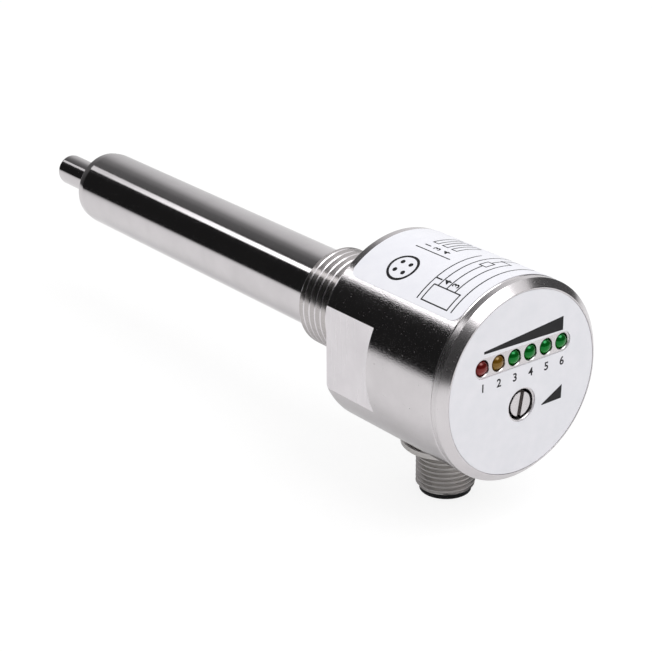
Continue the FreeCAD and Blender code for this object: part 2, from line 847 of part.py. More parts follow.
os.makedirs("parts", exist_ok=True)
for piece in PIECES:
    shape = piece()
    shape.exportStep(f"parts/{piece.__name__}.step")
    print(piece.__name__, len(shape.Solids), "solids", round(shape.Volume, 2), "mm3", shape.isValid())
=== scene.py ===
# %% [markdown]
# # Calorimetric flow sensor
# The real object is a turned stainless head with a long polished probe. This lesson dresses the packed
# solids: smooth turned pieces, real threads, labels, lamps, and a studio that gives steel something to
# mirror.

# %% Load the frame
from math import cos, pi, radians, sin, tan

import bpy
from mathutils import Matrix, Vector


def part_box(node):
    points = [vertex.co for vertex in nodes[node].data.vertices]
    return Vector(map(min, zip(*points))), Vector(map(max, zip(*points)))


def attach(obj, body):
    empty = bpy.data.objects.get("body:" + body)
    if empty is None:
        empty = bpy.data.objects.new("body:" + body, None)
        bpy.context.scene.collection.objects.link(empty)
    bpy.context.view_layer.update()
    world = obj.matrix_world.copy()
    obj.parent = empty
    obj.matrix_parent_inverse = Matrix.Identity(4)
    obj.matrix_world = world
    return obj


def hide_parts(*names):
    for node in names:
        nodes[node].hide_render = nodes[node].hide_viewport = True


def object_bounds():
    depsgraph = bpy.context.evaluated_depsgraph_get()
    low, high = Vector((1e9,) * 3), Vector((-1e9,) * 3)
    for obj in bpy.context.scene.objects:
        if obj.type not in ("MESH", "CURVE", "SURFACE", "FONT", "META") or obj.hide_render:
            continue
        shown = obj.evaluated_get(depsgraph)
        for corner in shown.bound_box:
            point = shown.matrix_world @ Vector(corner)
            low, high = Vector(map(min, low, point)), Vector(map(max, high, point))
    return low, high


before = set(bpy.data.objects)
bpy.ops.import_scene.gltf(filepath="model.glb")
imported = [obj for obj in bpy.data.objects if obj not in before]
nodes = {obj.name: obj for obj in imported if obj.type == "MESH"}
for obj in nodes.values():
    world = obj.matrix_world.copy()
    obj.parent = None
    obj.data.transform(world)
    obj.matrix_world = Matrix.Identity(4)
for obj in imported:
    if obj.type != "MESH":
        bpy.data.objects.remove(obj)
cad_low, cad_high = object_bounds()
mm = 0.001
print("frame loaded:", len(nodes), "nodes")

# %% [markdown]
# ## Camera
# The photograph looks down on the display face from the front left with a long lens. The place and the
# three directions of the camera come from lining up the housing's outlines, so nothing is guessed by
# eye.

# %% Camera
camera_place = Vector((-232.37, -274.64, 153.55)) * mm
camera_back = Vector((-0.56552, -0.72470, 0.39368))
camera_roll = radians(-0.455)
focal_pixels = 1966.7
frame_pixels = 652
sensor_width = 36.0

level_right = Vector((0, 0, 1)).cross(camera_back).normalized()
turned_axes = Matrix.Rotation(camera_roll, 3, camera_back)
right = turned_axes @ level_right
up = turned_axes @ camera_back.cross(level_right)
camera_data = bpy.data.cameras.new("camera")
camera_data.sensor_width = sensor_width
camera_data.lens = focal_pixels / frame_pixels * sensor_width
camera_data.clip_start = 10 * mm
camera = bpy.data.objects.new("camera", camera_data)
bpy.context.scene.collection.objects.link(camera)
pose = Matrix((right, up, camera_back)).transposed().to_4x4()
pose.translation = camera_place
camera.matrix_world = pose
bpy.context.scene.camera = camera
print("lens", round(camera_data.lens, 2), "mm")

# %% [markdown]
# ## Sizes from the frame
# Every piece takes its place from the box of the node that it stands for. The small edges and thread
# forms, which the plain solids leave out, are named in real sizes where each piece is made.

# %% Sizes from the frame
housing_low, housing_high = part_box("housing_body")
cap_low, cap_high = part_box("front_cap")
label_low, label_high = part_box("front_label")
side_low, side_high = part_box("side_label")
lamp_low, lamp_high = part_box("red_led")
spindle_low, spindle_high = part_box("adjuster_spindle")
nipple_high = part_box("process_nipple")[1]
tube_low, tube_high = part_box("probe_tube")
tip_low, tip_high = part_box("probe_tip")
shell_low, shell_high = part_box("connector_shell")
insert_low, insert_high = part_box("connector_insert")
head_radius = housing_high.x
seam_y = housing_low.y
face_y = cap_low.y
floor_y = label_high.y
connector_axis = Vector((0, (shell_low.y + shell_high.y) / 2, 0))
adjuster_axis = Vector((0, 0, (spindle_low.z + spindle_high.z) / 2))
print("head radius", round(head_radius / mm, 2), "mm, face at", round(face_y / mm, 2), "mm")

# %% [markdown]
# ## One piece at a time
# An operator acts on all that is selected, and loading leaves the solids selected. So every step first
# lets go of everything and takes one piece, and only then adds to it, edits it or applies a modifier to
# it.

# %% Handling helpers
weld_distance = 0.0002 * mm
smooth_angle = radians(20)


def pick(*pieces):
    """Select these pieces alone and make the first of them active."""
    bpy.ops.object.select_all(action="DESELECT")
    for piece in pieces:
        piece.select_set(True)
    bpy.context.view_layer.objects.active = pieces[0]


def begin(name, primitive, **settings):
    """Add a primitive with nothing else selected, and name it."""
    bpy.ops.object.select_all(action="DESELECT")
    primitive(**settings)
    piece = bpy.context.object
    piece.name = name
    return piece


def settle(piece, scale=(1, 1, 1)):
    """Scale a new piece and put its place and size into its mesh."""
    piece.scale = scale
    bpy.ops.object.transform_apply(location=True, rotation=True, scale=True)


def edit(piece):
    """Open a piece in edit mode with all of it selected."""
    pick(piece)
    bpy.ops.object.mode_set(mode="EDIT")
    bpy.ops.mesh.select_all(action="SELECT")


def close_up():
    """Merge doubles, turn all faces outwards and leave edit mode."""
    bpy.ops.mesh.select_all(action="SELECT")
    bpy.ops.mesh.remove_doubles(threshold=weld_distance)
    bpy.ops.mesh.normals_make_consistent(inside=False)
    bpy.ops.object.mode_set(mode="OBJECT")


def smooth(piece, angle=smooth_angle):
    """Shade round faces smooth and keep the edges that are sharper than the angle."""
    pick(piece)
    bpy.ops.object.shade_smooth_by_angle(angle=angle)


def modify(piece, kind, **settings):
    """Add a modifier with its settings and apply it."""
    pick(piece)
    modifier = piece.modifiers.new(kind.lower(), kind)
    for key, value in settings.items():
        setattr(modifier, key, value)
    bpy.ops.object.modifier_apply(modifier=modifier.name)


def dress(piece, body, slot, *stands_for):
    """Weigh normals by face size, then say what the piece rides on and stands for. The slot for what it
    is made of is not used.
    """
    modify(piece, "WEIGHTED_NORMAL", keep_sharp=True)
    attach(piece, body)
    if stands_for:
        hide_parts(*stands_for)
    print(piece.name, len(piece.data.polygons), "faces")


# %% [markdown]
# ## Turning on the lathe
# Most of the sensor was turned. A piece starts as one vertex that is extruded along half of its section
# and then spun about the axis, which is what a lathe does. Each corner of the section carries its own
# small edge radius, because a broken edge is what catches the light on real steel. The normals of a
# finished piece are weighed by face size, so that wide faces stay true mirrors and only the small edges
# look round.

# %% Lathe helpers
lathe_steps = 192
fine_steps = 256


def soften(outline, steps=4):
    """Swap each (radius, place, rounding) corner for a small arc; a corner of two numbers stays sharp."""
    made = []
    for i, (radius, place, *rounding) in enumerate(outline):
        corner = Vector((radius, place))
        if not any(rounding):
            made.append(corner)
            continue
        size = rounding[0]
        before = (Vector(outline[i - 1][:2]) - corner).normalized()
        after = (Vector(outline[(i + 1) % len(outline)][:2]) - corner).normalized()
        half = before.angle(after) / 2
        middle = corner + (before + after).normalized() * size / sin(half)
        start = corner + before * size / tan(half) - middle
        end = corner + after * size / tan(half) - middle
        made += [middle + start.slerp(end, k / steps).normalized() * size for k in range(steps + 1)]
    return made


def lathe(name, outline, centre=Vector(), upright=False, steps=lathe_steps):
    """Extrude a vertex along an outline, then spin it about the Y axis, or about Z if upright."""
    points = [Vector((p.x, 0, p.y)) if upright else Vector((p.x, p.y, 0)) for p in soften(outline)]
    piece = begin(name, bpy.ops.mesh.primitive_plane_add, size=mm)
    edit(piece)
    bpy.ops.mesh.merge(type="CENTER")
    bpy.ops.transform.translate(value=centre + points[0])
    for start, end in zip(points, points[1:] + points[:1]):
        bpy.ops.mesh.extrude_vertices_move(TRANSFORM_OT_translate={"value": end - start})
    bpy.ops.mesh.select_all(action="SELECT")
    bpy.ops.mesh.remove_doubles(threshold=weld_distance)
    axis = (0, 0, 1) if upright else (0, 1, 0)
    bpy.ops.mesh.spin(steps=steps, angle=2 * pi, center=centre, axis=axis)
    close_up()
    smooth(piece)
    return piece


# %% [markdown]
# ## Milling and drilling
# What isn't round was cut after turning. A tool is a plain block or cylinder, and a Boolean takes its
# shape out of the piece, as the real cutter does. Cut edges are sharp, so a narrow bevel then breaks
# them.

# %% Milling helpers
drill_steps = 96


def cut(piece, tool, operation="DIFFERENCE"):
    """Take a tool's solid out of a piece, as a mill or a drill does, or unite the two."""
    modify(piece, "BOOLEAN", object=tool, operation=operation, solver="EXACT")
    bpy.data.objects.remove(tool)


def block(low, high):
    """Cube scaled to two corners, for use as a milling tool."""
    low, high = Vector(low), Vector(high)
    tool = begin("block", bpy.ops.mesh.primitive_cube_add, size=1, location=(low + high) / 2)
    settle(tool, high - low)
    return tool


def drill(radius, low_z, high_z, centre):
    """Upright cylinder, for use as a drill or a spot-facing tool."""
    corners = [(0, low_z), (radius, low_z), (radius, high_z), (0, high_z)]
    return lathe("drill", corners, centre, True, drill_steps)


def break_edges(piece, width, angle):
    """Bevel every edge sharper than the angle, as a file or a deburring tool leaves it."""
    modify(piece, "BEVEL", width=width, segments=2, limit_method="ANGLE", angle_limit=angle)


# %% [markdown]
# ## Housing
# The head is a cup turned from bar. Two wrench flats are milled beside the process thread, and a spot
# face on the underside seats the connector. The cup is turned first, then the mill and the drill are
# applied as Boolean cuts, in the order a workshop would use.

# %% Housing
housing_wall = 3.0 * mm
rear_wall = 4.0 * mm
rear_edge = 0.3 * mm
seam_edge = 0.15 * mm
seam_gap = 0.2 * mm
seam_depth = 0.4 * mm
flat_depth = 2.0 * mm
flat_length = 14.4 * mm
spot_depth = 1.2 * mm
spot_gap = 0.3 * mm
connector_bore = 5.63 * mm
shoulder_groove_radius = 11.18 * mm
shoulder_groove_depth = 0.5 * mm
nipple_hole_radius = 8.83 * mm
fine_edge = 0.08 * mm
milled_edge = 0.1 * mm
milled_angle = radians(18)
head_smooth = radians(15)

flange_radius = shell_high.x
seat_z = -(head_radius - spot_depth)
bore_radius = head_radius - housing_wall
housing = lathe("housing", [
    (nipple_hole_radius, -shoulder_groove_depth),
    (shoulder_groove_radius, -shoulder_groove_depth),
    (shoulder_groove_radius, 0, fine_edge),
    (head_radius - rear_edge, 0, fine_edge),
    (head_radius, -rear_edge, fine_edge),
    (head_radius, seam_y + seam_edge, fine_edge),
    (head_radius - seam_edge, seam_y),
    (bore_radius, seam_y),
    (bore_radius, -rear_wall),
    (nipple_hole_radius, -rear_wall),
], steps=fine_steps)
far = 2 * head_radius
for side in (-1, 1):
    near_x, far_x = sorted((side * (head_radius - flat_depth), side * far))
    cut(housing, block((near_x, -flat_length, -far), (far_x, far, far)))
cut(housing, drill(flange_radius + spot_gap, -far, seat_z, connector_axis))
cut(housing, drill(connector_bore, -far, 0, connector_axis))
break_edges(housing, milled_edge, milled_angle)
smooth(housing, head_smooth)
dress(housing, "sensor_body", "stainless_steel", "housing_body")

# %% [markdown]
# ## Front cap
# The lid closes the cup. Its 45 degree chamfer is the brightest band on the object, and the shallow
# recess keeps the label below the rim. The lamp holes and the adjuster's bore are drilled through the
# web, each with a slightly broken edge that shows as a bright crescent.

# %% Front cap
cap_chamfer = 1.5 * mm
chamfer_edge = 0.05 * mm
rim_edge = 0.04 * mm
recess_radius = 18.25 * mm
cap_web = 4.0 * mm
spigot_radius = bore_radius - 0.03 * mm
spigot_wall = 1.7 * mm
web_rear_y = floor_y + cap_web
cap = lathe("cap", [
    (0, floor_y),
    (recess_radius, floor_y),
    (recess_radius, face_y, rim_edge),
    (head_radius - cap_chamfer, face_y, chamfer_edge),
    (head_radius, face_y + cap_chamfer, fine_edge),
    (head_radius, seam_y - seam_gap, rim_edge),
    (head_radius - seam_depth, seam_y - seam_gap),
    (head_radius - seam_depth, seam_y),
    (spigot_radius, seam_y),
    (spigot_radius, cap_high.y),
    (spigot_radius - spigot_wall, cap_high.y),
    (spigot_radius - spigot_wall, web_rear_y),
    (0, web_rear_y),
], steps=fine_steps)
print("turned cap", len(cap.data.polygons), "faces")

# %% Holes in the cap
lamp_row_z = (lamp_low.z + lamp_high.z) / 2
lamp_pitch = 4.0 * mm
lamp_count = 6
lamp_hole_radius = 1.6 * mm
adjuster_bore_radius = 3.05 * mm
adjuster_bore_depth = 2.8 * mm
stem_bore_radius = 1.54 * mm
hole_edge = 0.12 * mm
hole_rounding = 0.03 * mm
hole_steps = 64
approach = 0.5 * mm
overrun = 1.0 * mm


def hole_tool(radius, end_y, x, z):
    """Drill with a countersink at the cap's face."""
    start_y = floor_y - approach
    wide = radius + hole_edge + approach
    return lathe("hole", [
        (0, start_y),
        (wide, start_y),
        (radius, floor_y + hole_edge, hole_rounding),
        (radius, end_y),
        (0, end_y),
    ], Vector((x, 0, z)), steps=hole_steps)


lamp_places = [(i - (lamp_count - 1) / 2) * lamp_pitch for i in range(lamp_count)]
for x in lamp_places:
    cut(cap, hole_tool(lamp_hole_radius, web_rear_y + overrun, x, lamp_row_z))
cut(cap, hole_tool(adjuster_bore_radius, floor_y + adjuster_bore_depth, 0, adjuster_axis.z))
cut(cap, hole_tool(stem_bore_radius, web_rear_y + overrun, 0, adjuster_axis.z))
smooth(cap, head_smooth)
dress(cap, "sensor_body", "stainless_steel", "front_cap")

# %% [markdown]
# ## Probe
# The probe is a polished tube with a short taper at its end, and the sensing pin stands out of it. Both
# are plain turned forms, so their quality is all in the edge radii and in many lathe steps, which keep
# the long mirror bands straight.

# %% Probe tube
tube_radius = tube_high.x
taper_length = 2.2 * mm
taper_depth = 0.28 * mm
taper_rounding = 4.0 * mm
end_crown = 0.4 * mm
end_rounding = 0.4 * mm
end_face_radius = 6.8 * mm
end_edge = 0.1 * mm
tube_spigot = 7.77 * mm
tube_bore = 7.0 * mm
tube_wall = 2.5 * mm
tip_radius = 3.6 * mm
tip_hole_radius = tip_radius + 0.03 * mm

nipple_end_y = nipple_high.y
taper_end_y = tube_high.y - end_crown
tube_wall_y = tube_high.y - tube_wall
tube = lathe("tube", [
    (tube_bore, tube_low.y),
    (tube_spigot, tube_low.y),
    (tube_spigot, nipple_end_y),
    (tube_radius, nipple_end_y, fine_edge),
    (tube_radius, taper_end_y - taper_length, taper_rounding),
    (tube_radius - taper_depth, taper_end_y, end_rounding),
    (end_face_radius, tube_high.y, end_edge),
    (tip_hole_radius, tube_high.y, end_edge),
    (tip_hole_radius, tube_wall_y),
    (tube_bore, tube_wall_y),
])
dress(tube, "sensor_body", "stainless_steel", "probe_tube")

# %% Sensing pin
tip_nose = 1.2 * mm
tip_nose_wall = 0.8 * mm
tip_bore = tip_radius - 0.5 * mm
tip = lathe("tip", [
    (tip_bore, tip_low.y),
    (tip_high.x, tip_low.y),
    (tip_high.x, tube_wall_y),
    (tip_radius, tube_wall_y),
    (tip_radius, tip_high.y, tip_nose),
    (0, tip_high.y),
    (0, tip_high.y - tip_nose_wall),
    (tip_bore, tip_high.y - tip_nose_wall),
])
dress(tip, "sensor_body", "stainless_steel", "probe_tip")

# %% [markdown]
# ## Threads
# A thread is a section that climbs one pitch in each turn. A flat grid is rolled up: each row of the
# grid is one point of the thread's section, and each column is a step round the axis that moves the row
# forward by a share of the pitch. Rows that would pass the ends are held there, so the thread runs out
# into its lead-in cone and its relief, as a cut thread does.

# %% Thread helpers
thread_steps = 120
thread_smooth = radians(35)
crest_shares = (0, 0.17, 0.34, 0.5)
spare_turns = 3


def thread_section(pitch, crest, root, half_angle, crown, crest_round, root_round):
    """One pitch of a thread with crowned crests, as (along, drop) points from the middle of a crest."""
    depth = (pitch - crest - root) / 2 / tan(half_angle)
    rise = [(share * crest, (share * crest) ** 2 / (2 * crown)) for share in crest_shares]
    climb = [(along, drop, crest_round if along == crest / 2 else 0) for along, drop in rise]
    bottom = [((pitch - root) / 2, depth, root_round), ((pitch + root) / 2, depth, root_round)]
    fall = [(pitch - along, drop, rounding) for along, drop, rounding in reversed(climb)]
    return [tuple(point) for point in soften(climb + bottom + fall)[:-1]]


def roll_thread(name, axes, centre, section, pitch, crest, limits, relief, lead, rest):
    """Roll a grid into a threaded ring between a relief and a lead-in cone, closed by a plain outline."""
    low, high = limits
    turns = int((high - low) / pitch) + spare_turns
    rows = [(crest - drop, low - pitch + k * pitch + along)
            for k in range(turns) for along, drop in section]
    row_count = len(rows) + len(rest)
    piece = begin(name, bpy.ops.mesh.primitive_grid_add, size=2,
                  x_subdivisions=thread_steps, y_subdivisions=row_count)
    for vertex in piece.data.vertices:
        column = round((vertex.co.x + 1) / 2 * thread_steps)
        row = round((vertex.co.y + 1) / 2 * row_count) % row_count
        if row < len(rows):
            radius, along = rows[row]
            along = min(max(along + pitch * column / thread_steps, low), high)
            radius = min(radius, relief + (along - low), crest - (along - high + lead))
        else:
            radius, along = rest[row - len(rows)]
        angle = 2 * pi * column / thread_steps
        spoke = axes[0] * cos(angle) + axes[1] * sin(angle)
        vertex.co = centre + spoke * radius + axes[2] * along
    edit(piece)
    close_up()
    smooth(piece, thread_smooth)
    return piece


# %% [markdown]
# ## Process nipple
# The half-inch parallel pipe thread has wide crests that mirror the room much as the tube does. Its
# rounded edges and roots leave little of the straight 55 degree flanks, so the flanks are drawn
# flatter, and with a paler painted tone they show as light lines, while the crests get a greyer painted
# shade. It starts at a relief beside the sealing shoulder and ends in a short lead-in cone.

# %% Process nipple
pipe_pitch = 1.814 * mm
pipe_crest = 1.45 * mm
pipe_root = 0.05 * mm
pipe_flank_angle = radians(42)
pipe_crown = 12.0 * mm
pipe_crest_round = 0.06 * mm
pipe_root_round = 0.02 * mm
pipe_radius = nipple_high.x
pipe_lead = 0.35 * mm
relief_end = 2.5 * mm
relief_radius = 9.2 * mm
nipple_bore = 7.8 * mm
nipple_spigot = 8.8 * mm
X, Y, Z = Vector((1, 0, 0)), Vector((0, 1, 0)), Vector((0, 0, 1))
relief_start = relief_end - (pipe_radius - relief_radius)

pipe_section = thread_section(
    pipe_pitch, pipe_crest, pipe_root, pipe_flank_angle, pipe_crown, pipe_crest_round, pipe_root_round)
nipple = roll_thread(
    "nipple", (-Z, -X, Y), Vector(), pipe_section, pipe_pitch, pipe_radius, (relief_start, nipple_end_y),
    relief_radius, pipe_lead,
    [(nipple_bore, nipple_end_y), (nipple_bore, -rear_wall), (nipple_spigot, -rear_wall),
     (nipple_spigot, -shoulder_groove_depth), (relief_radius, -shoulder_groove_depth)])
dress(nipple, "sensor_body", "stainless_steel", "process_nipple")

# %% [markdown]
# ## Connector
# The cable connector is nickel-plated brass with a 12 mm fine thread, a round flange and a black
# moulded insert that stands out below it. The plating rounds off the thread, so its section has round
# crests too.

# %% Connector shell
shell_pitch = 1.0 * mm
shell_crest = 0.22 * mm
shell_root = 0.2 * mm
shell_flank_angle = radians(30)
shell_rounding = 0.1 * mm
shell_crown = 0.6 * mm
shell_radius = 5.95 * mm
shell_lead = 0.55 * mm
shell_bore = 4.9 * mm
shell_spigot = 5.6 * mm
shell_relief = 5.3 * mm
flange_edge = 0.2 * mm
flange_top = -seat_z
flange_bottom = flange_top + 1.4 * mm
thread_start = flange_bottom + 0.8 * mm
shell_top, shell_end = -shell_high.z, -shell_low.z

shell_section = thread_section(
    shell_pitch, shell_crest, shell_root, shell_flank_angle, shell_crown, shell_rounding, shell_rounding)
shell = roll_thread(
    "connector", (X, -Y, -Z), connector_axis, shell_section, shell_pitch, shell_radius,
    (thread_start, shell_end), shell_relief, shell_lead,
    [(shell_bore, shell_end), (shell_bore, shell_top), (shell_spigot, shell_top),
     (shell_spigot, flange_top), (flange_radius - flange_edge, flange_top),
     (flange_radius, flange_top + flange_edge),
     (flange_radius, flange_bottom - flange_edge), (flange_radius - flange_edge, flange_bottom),
     (shell_relief, flange_bottom)])
dress(shell, "sensor_body", "nickel_brass", "connector_shell")

# %% Connector insert
insert_radius = 4.87 * mm
insert_lip = 5.2 * mm
insert_cavity = 4.2 * mm
lip_top_edge = 0.1 * mm
lip_edge = 0.3 * mm
cavity_edge = 0.25 * mm
cavity_top = insert_low.z + 8.0 * mm
insert = lathe("connector_body", [
    (0, insert_high.z),
    (insert_radius, insert_high.z),
    (insert_radius, shell_low.z),
    (insert_lip, shell_low.z, lip_top_edge),
    (insert_lip, insert_low.z, lip_edge),
    (insert_cavity, insert_low.z, cavity_edge),
    (insert_cavity, cavity_top),
    (0, cavity_top),
], connector_axis, True)
key_half = 0.5 * mm
key_height = 0.6 * mm
key_sunk = 0.1 * mm
key_turn = Matrix.Rotation(radians(45), 4, "Z")
key = block((insert_cavity - key_height, -key_half, insert_low.z + key_height),
            (insert_radius - key_sunk, key_half, cavity_top + key_sunk))
key.data.transform(Matrix.Translation(connector_axis) @ key_turn)
cut(insert, key, "UNION")
smooth(insert)
dress(insert, "sensor_body", "black_plastic", "connector_insert")

# %% [markdown]
# ## Lamps
# Each lamp is a 3 mm epoxy bullet with a domed nose and a small flange behind the cap, on two tinned
# leads. One is turned and copied, each copy with its own mesh, so that every lamp can take its own
# colour.

# %% First lamp
lamp_radius = 1.57 * mm
lamp_flange = 1.75 * mm
lamp_flange_depth = 0.95 * mm
lamp_steps = 64
lead_radius = 0.25 * mm
lead_offset = 1.27 * mm
lead_rounding = 0.1 * mm
lead_steps = 16
dome_y = lamp_low.y + lamp_radius
dome_steps = 12
flange_rear_y = web_rear_y + lamp_flange_depth


def join_pieces(name, pieces):
    """Join pieces into the first of them and name it."""
    pick(*pieces)
    bpy.ops.object.join()
    pieces[0].name = name
    return pieces[0]


dome_angles = [pi / 2 * k / dome_steps for k in range(dome_steps + 1)]
dome = [(lamp_radius * sin(angle), dome_y - lamp_radius * cos(angle)) for angle in dome_angles]
bullet = lathe("bullet", dome + [
    (lamp_radius, web_rear_y),
    (lamp_flange, web_rear_y),
    (lamp_flange, flange_rear_y),
    (0, flange_rear_y),
], Vector((lamp_places[0], 0, lamp_row_z)), steps=lamp_steps)
leads = [lathe("lead", [
    (0, flange_rear_y),
    (lead_radius, flange_rear_y),
    (lead_radius, lamp_high.y, lead_rounding),
    (0, lamp_high.y),
], Vector((lamp_places[0], 0, lamp_row_z + side * lead_offset)), steps=lead_steps) for side in (-1, 1)]
red_lamp = join_pieces("red_lamp", [bullet] + leads)
print("first lamp", len(red_lamp.data.polygons), "faces")

# %% Row of lamps


def copy_lamp(name, x):
    """Copy the first lamp, with its own mesh, to another place in the row."""
    made = red_lamp.copy()
    made.data = red_lamp.data.copy()
    made.name = name
    made.data.transform(Matrix.Translation((x - lamp_places[0], 0, 0)))
    bpy.context.scene.collection.objects.link(made)
    return made


amber_lamp = copy_lamp("amber_lamp", lamp_places[1])
green_lamps = [copy_lamp(f"green_lamp_{i + 1}", x) for i, x in enumerate(lamp_places[2:])]
dress(red_lamp, "sensor_body", "red_epoxy", "red_led")
dress(amber_lamp, "sensor_body", "amber_epoxy", "amber_led")
for piece in green_lamps:
    dress(piece, "sensor_body", "green_epoxy", "green_leds")

# %% [markdown]
# ## Set-point adjuster
# The slotted spindle is the one part that turns. Its head sits in the cap's bore with a black ring
# showing round it. It is turned in one piece with its stem and clip groove, then the slot is milled
# across the head at the angle it was left at.

# %% Set-point adjuster
head_front_y = spindle_low.y
adjuster_radius = 2.5 * mm
adjuster_head = 1.1 * mm
head_edge = 0.12 * mm
head_rear_edge = 0.05 * mm
stem_radius = 1.5 * mm
groove_radius = 1.15 * mm
groove_end = web_rear_y + 0.7 * mm
blade_reach = 0.9 * mm
stem_end = spindle_high.y - blade_reach
spindle = lathe("set_point_spindle", [
    (0, head_front_y),
    (adjuster_radius, head_front_y, head_edge),
    (adjuster_radius, head_front_y + adjuster_head, head_rear_edge),
    (stem_radius, head_front_y + adjuster_head),
    (stem_radius, web_rear_y),
    (groove_radius, web_rear_y),
    (groove_radius, groove_end),
    (stem_radius, groove_end),
    (stem_radius, stem_end),
    (0, stem_end),
], adjuster_axis, steps=drill_steps)
print("turned spindle", len(spindle.data.polygons), "faces")

# %% Slot and blade
slot_width = 0.95 * mm
slot_depth = 0.6 * mm
slot_tilt = radians(10)
slot_edge = 0.05 * mm
slot_edge_angle = radians(40)
spindle_smooth = radians(30)
blade_half = Vector((0.35 * mm, 0, 1.2 * mm))
blade_sunk = 0.1 * mm


def tilted_block(low, high):
    """Block about the adjuster's axis, turned to the slot's angle."""
    tool = block(low, high)
    tool.data.transform(Matrix.Translation(adjuster_axis) @ Matrix.Rotation(slot_tilt, 4, "Y"))
    return tool


cut(spindle, tilted_block((-slot_width / 2, head_front_y - overrun, -2 * adjuster_radius),
                          (slot_width / 2, head_front_y + slot_depth, 2 * adjuster_radius)))
blade = tilted_block((-blade_half.x, stem_end - blade_sunk, -blade_half.z),
                     (blade_half.x, spindle_high.y, blade_half.z))
cut(spindle, blade, "UNION")
break_edges(spindle, slot_edge, slot_edge_angle)
smooth(spindle, spindle_smooth)
dress(spindle, "setpoint_adjuster", "bright_steel", "adjuster_spindle")

# %% [markdown]
# ## Labels and their print
# The side label is a white film wrapped over the top of the head. It starts flat, gets its round
# corners by bevelling, is sliced into narrow strips by bisecting, and is then bent round the housing.
# The print is thin ink that stands on the films: plain bars, lines and numbers.

# %% Side label
film_gap = 0.02 * mm
film_thickness = 0.08 * mm
film_smooth = radians(30)
label_corner = 2.0 * mm
corner_segments = 8
label_half_angle = radians(43.4)
strip_angle = radians(1.5)
film_radius = head_radius + film_gap


def wrap(piece, radius):
    """Bend a flat piece, drawn with X as arc length and Y along the axis, round the head."""
    for vertex in piece.data.vertices:
        angle = vertex.co.x / radius
        reach = radius + vertex.co.z
        vertex.co = Vector((reach * sin(angle), vertex.co.y, reach * cos(angle)))


def slice_strips(piece, half_width, step):
    """Bisect a flat piece along Y every step, so that it can bend."""
    edit(piece)
    for i in range(-int(half_width / step), int(half_width / step) + 1):
        bpy.ops.mesh.select_all(action="SELECT")
        bpy.ops.mesh.bisect(plane_co=(i * step, 0, 0), plane_no=(1, 0, 0))
    bpy.ops.object.mode_set(mode="OBJECT")


half_width = label_half_angle * film_radius
film = begin("side_film", bpy.ops.mesh.primitive_plane_add, size=1,
             location=(0, (side_low.y + side_high.y) / 2, 0))
settle(film, (2 * half_width, side_high.y - side_low.y, 1))
edit(film)
bpy.ops.mesh.bevel(offset=label_corner, segments=corner_segments, affect="VERTICES")
bpy.ops.object.mode_set(mode="OBJECT")
slice_strips(film, half_width, strip_angle * film_radius)
wrap(film, film_radius)
modify(film, "SOLIDIFY", thickness=film_thickness, offset=1)
smooth(film, film_smooth)
dress(film, "sensor_body", "side_film", "side_label")

# %% Front print
ink_rise = 0.012 * mm
ink_y = label_low.y


def ink_patch(name, corners):
    """Flat patch of ink on the front label from (x, z) corners in millimetres, a hair thick."""
    patch = begin(name, bpy.ops.mesh.primitive_circle_add, vertices=len(corners), radius=mm,
                  fill_type="NGON")
    for vertex, (x, z) in zip(patch.data.vertices, corners):
        vertex.co = Vector((x * mm, ink_y, z * mm))
    edit(patch)
    bpy.ops.mesh.normals_make_consistent(inside=False)
    bpy.ops.mesh.extrude_region_move(TRANSFORM_OT_translate={"value": (0, -ink_rise, 0)})
    close_up()
    return patch


wedge = ink_patch("level_wedge", ((-9.9, 8.45), (10, 8.0), (10, 10.8), (-9.9, 8.95)))
ramp = ink_patch("setting_wedge", ((5.1, -6.15), (10.2, -6.1), (10.3, -3.25), (5.1, -5.95)))
for patch in (wedge, ramp):
    dress(patch, "sensor_body", "front_film")

# %% [markdown]
# ## Numbers and the pin drawing
# Plain numbers count the lamps on the face, and the side label carries a plain pin-out and wiring
# drawing. Bars, rings and numbers are drawn flat, joined, sliced into strips and bent round the head
# together, so that the ink follows the film without sinking into it.

# %% Drawing helpers
line_width = 0.28 * mm
ring_sides = 48
number_size = 2.3 * mm
number_weight = 0.05 * mm


def flat_bar(x0, y0, x1, y1):
    """Flat bar between two corners."""
    middle = ((x0 + x1) / 2, (y0 + y1) / 2, 0)
    bar = begin("bar", bpy.ops.mesh.primitive_plane_add, size=1, location=middle)
    settle(bar, (abs(x1 - x0), abs(y1 - y0), 1))
    return bar


def flat_line(x0, y0, x1, y1):
    """Line of the drawing's width along X or Y, with square ends."""
    half = line_width / 2
    return flat_bar(min(x0, x1) - half, min(y0, y1) - half, max(x0, x1) + half, max(y0, y1) + half)


def flat_box(x0, y0, x1, y1):
    """Outlined box made of four lines."""
    corners = [(x0, y0), (x1, y0), (x1, y1), (x0, y1)]
    return [flat_line(*start, *end) for start, end in zip(corners, corners[1:] + corners[:1])]


def flat_ring(x, y, outer, inner):
    """Ring, or a filled dot where the inner radius is nothing."""
    ring = begin("ring", bpy.ops.mesh.primitive_circle_add, vertices=ring_sides, radius=outer,
                 location=(x, y, 0), fill_type="NOTHING" if inner else "NGON")
    settle(ring)
    if inner:
        edit(ring)
        bpy.ops.mesh.extrude_edges_move()
        shrink = inner / outer
        bpy.ops.transform.resize(value=(shrink, shrink, 1), center_override=(x, y, 0))
        bpy.ops.object.mode_set(mode="OBJECT")
    return ring


def flat_number(text, x, y):
    """Plain number as a mesh, centred on its place."""
    number = begin("number", bpy.ops.object.text_add)
    number.data.body = text
    number.data.size = number_size
    number.data.offset = number_weight
    number.data.align_x = "CENTER"
    number.data.align_y = "CENTER"
    bpy.ops.object.convert(target="MESH")
    number.data.transform(Matrix.Translation((x, y, 0)))
    return number


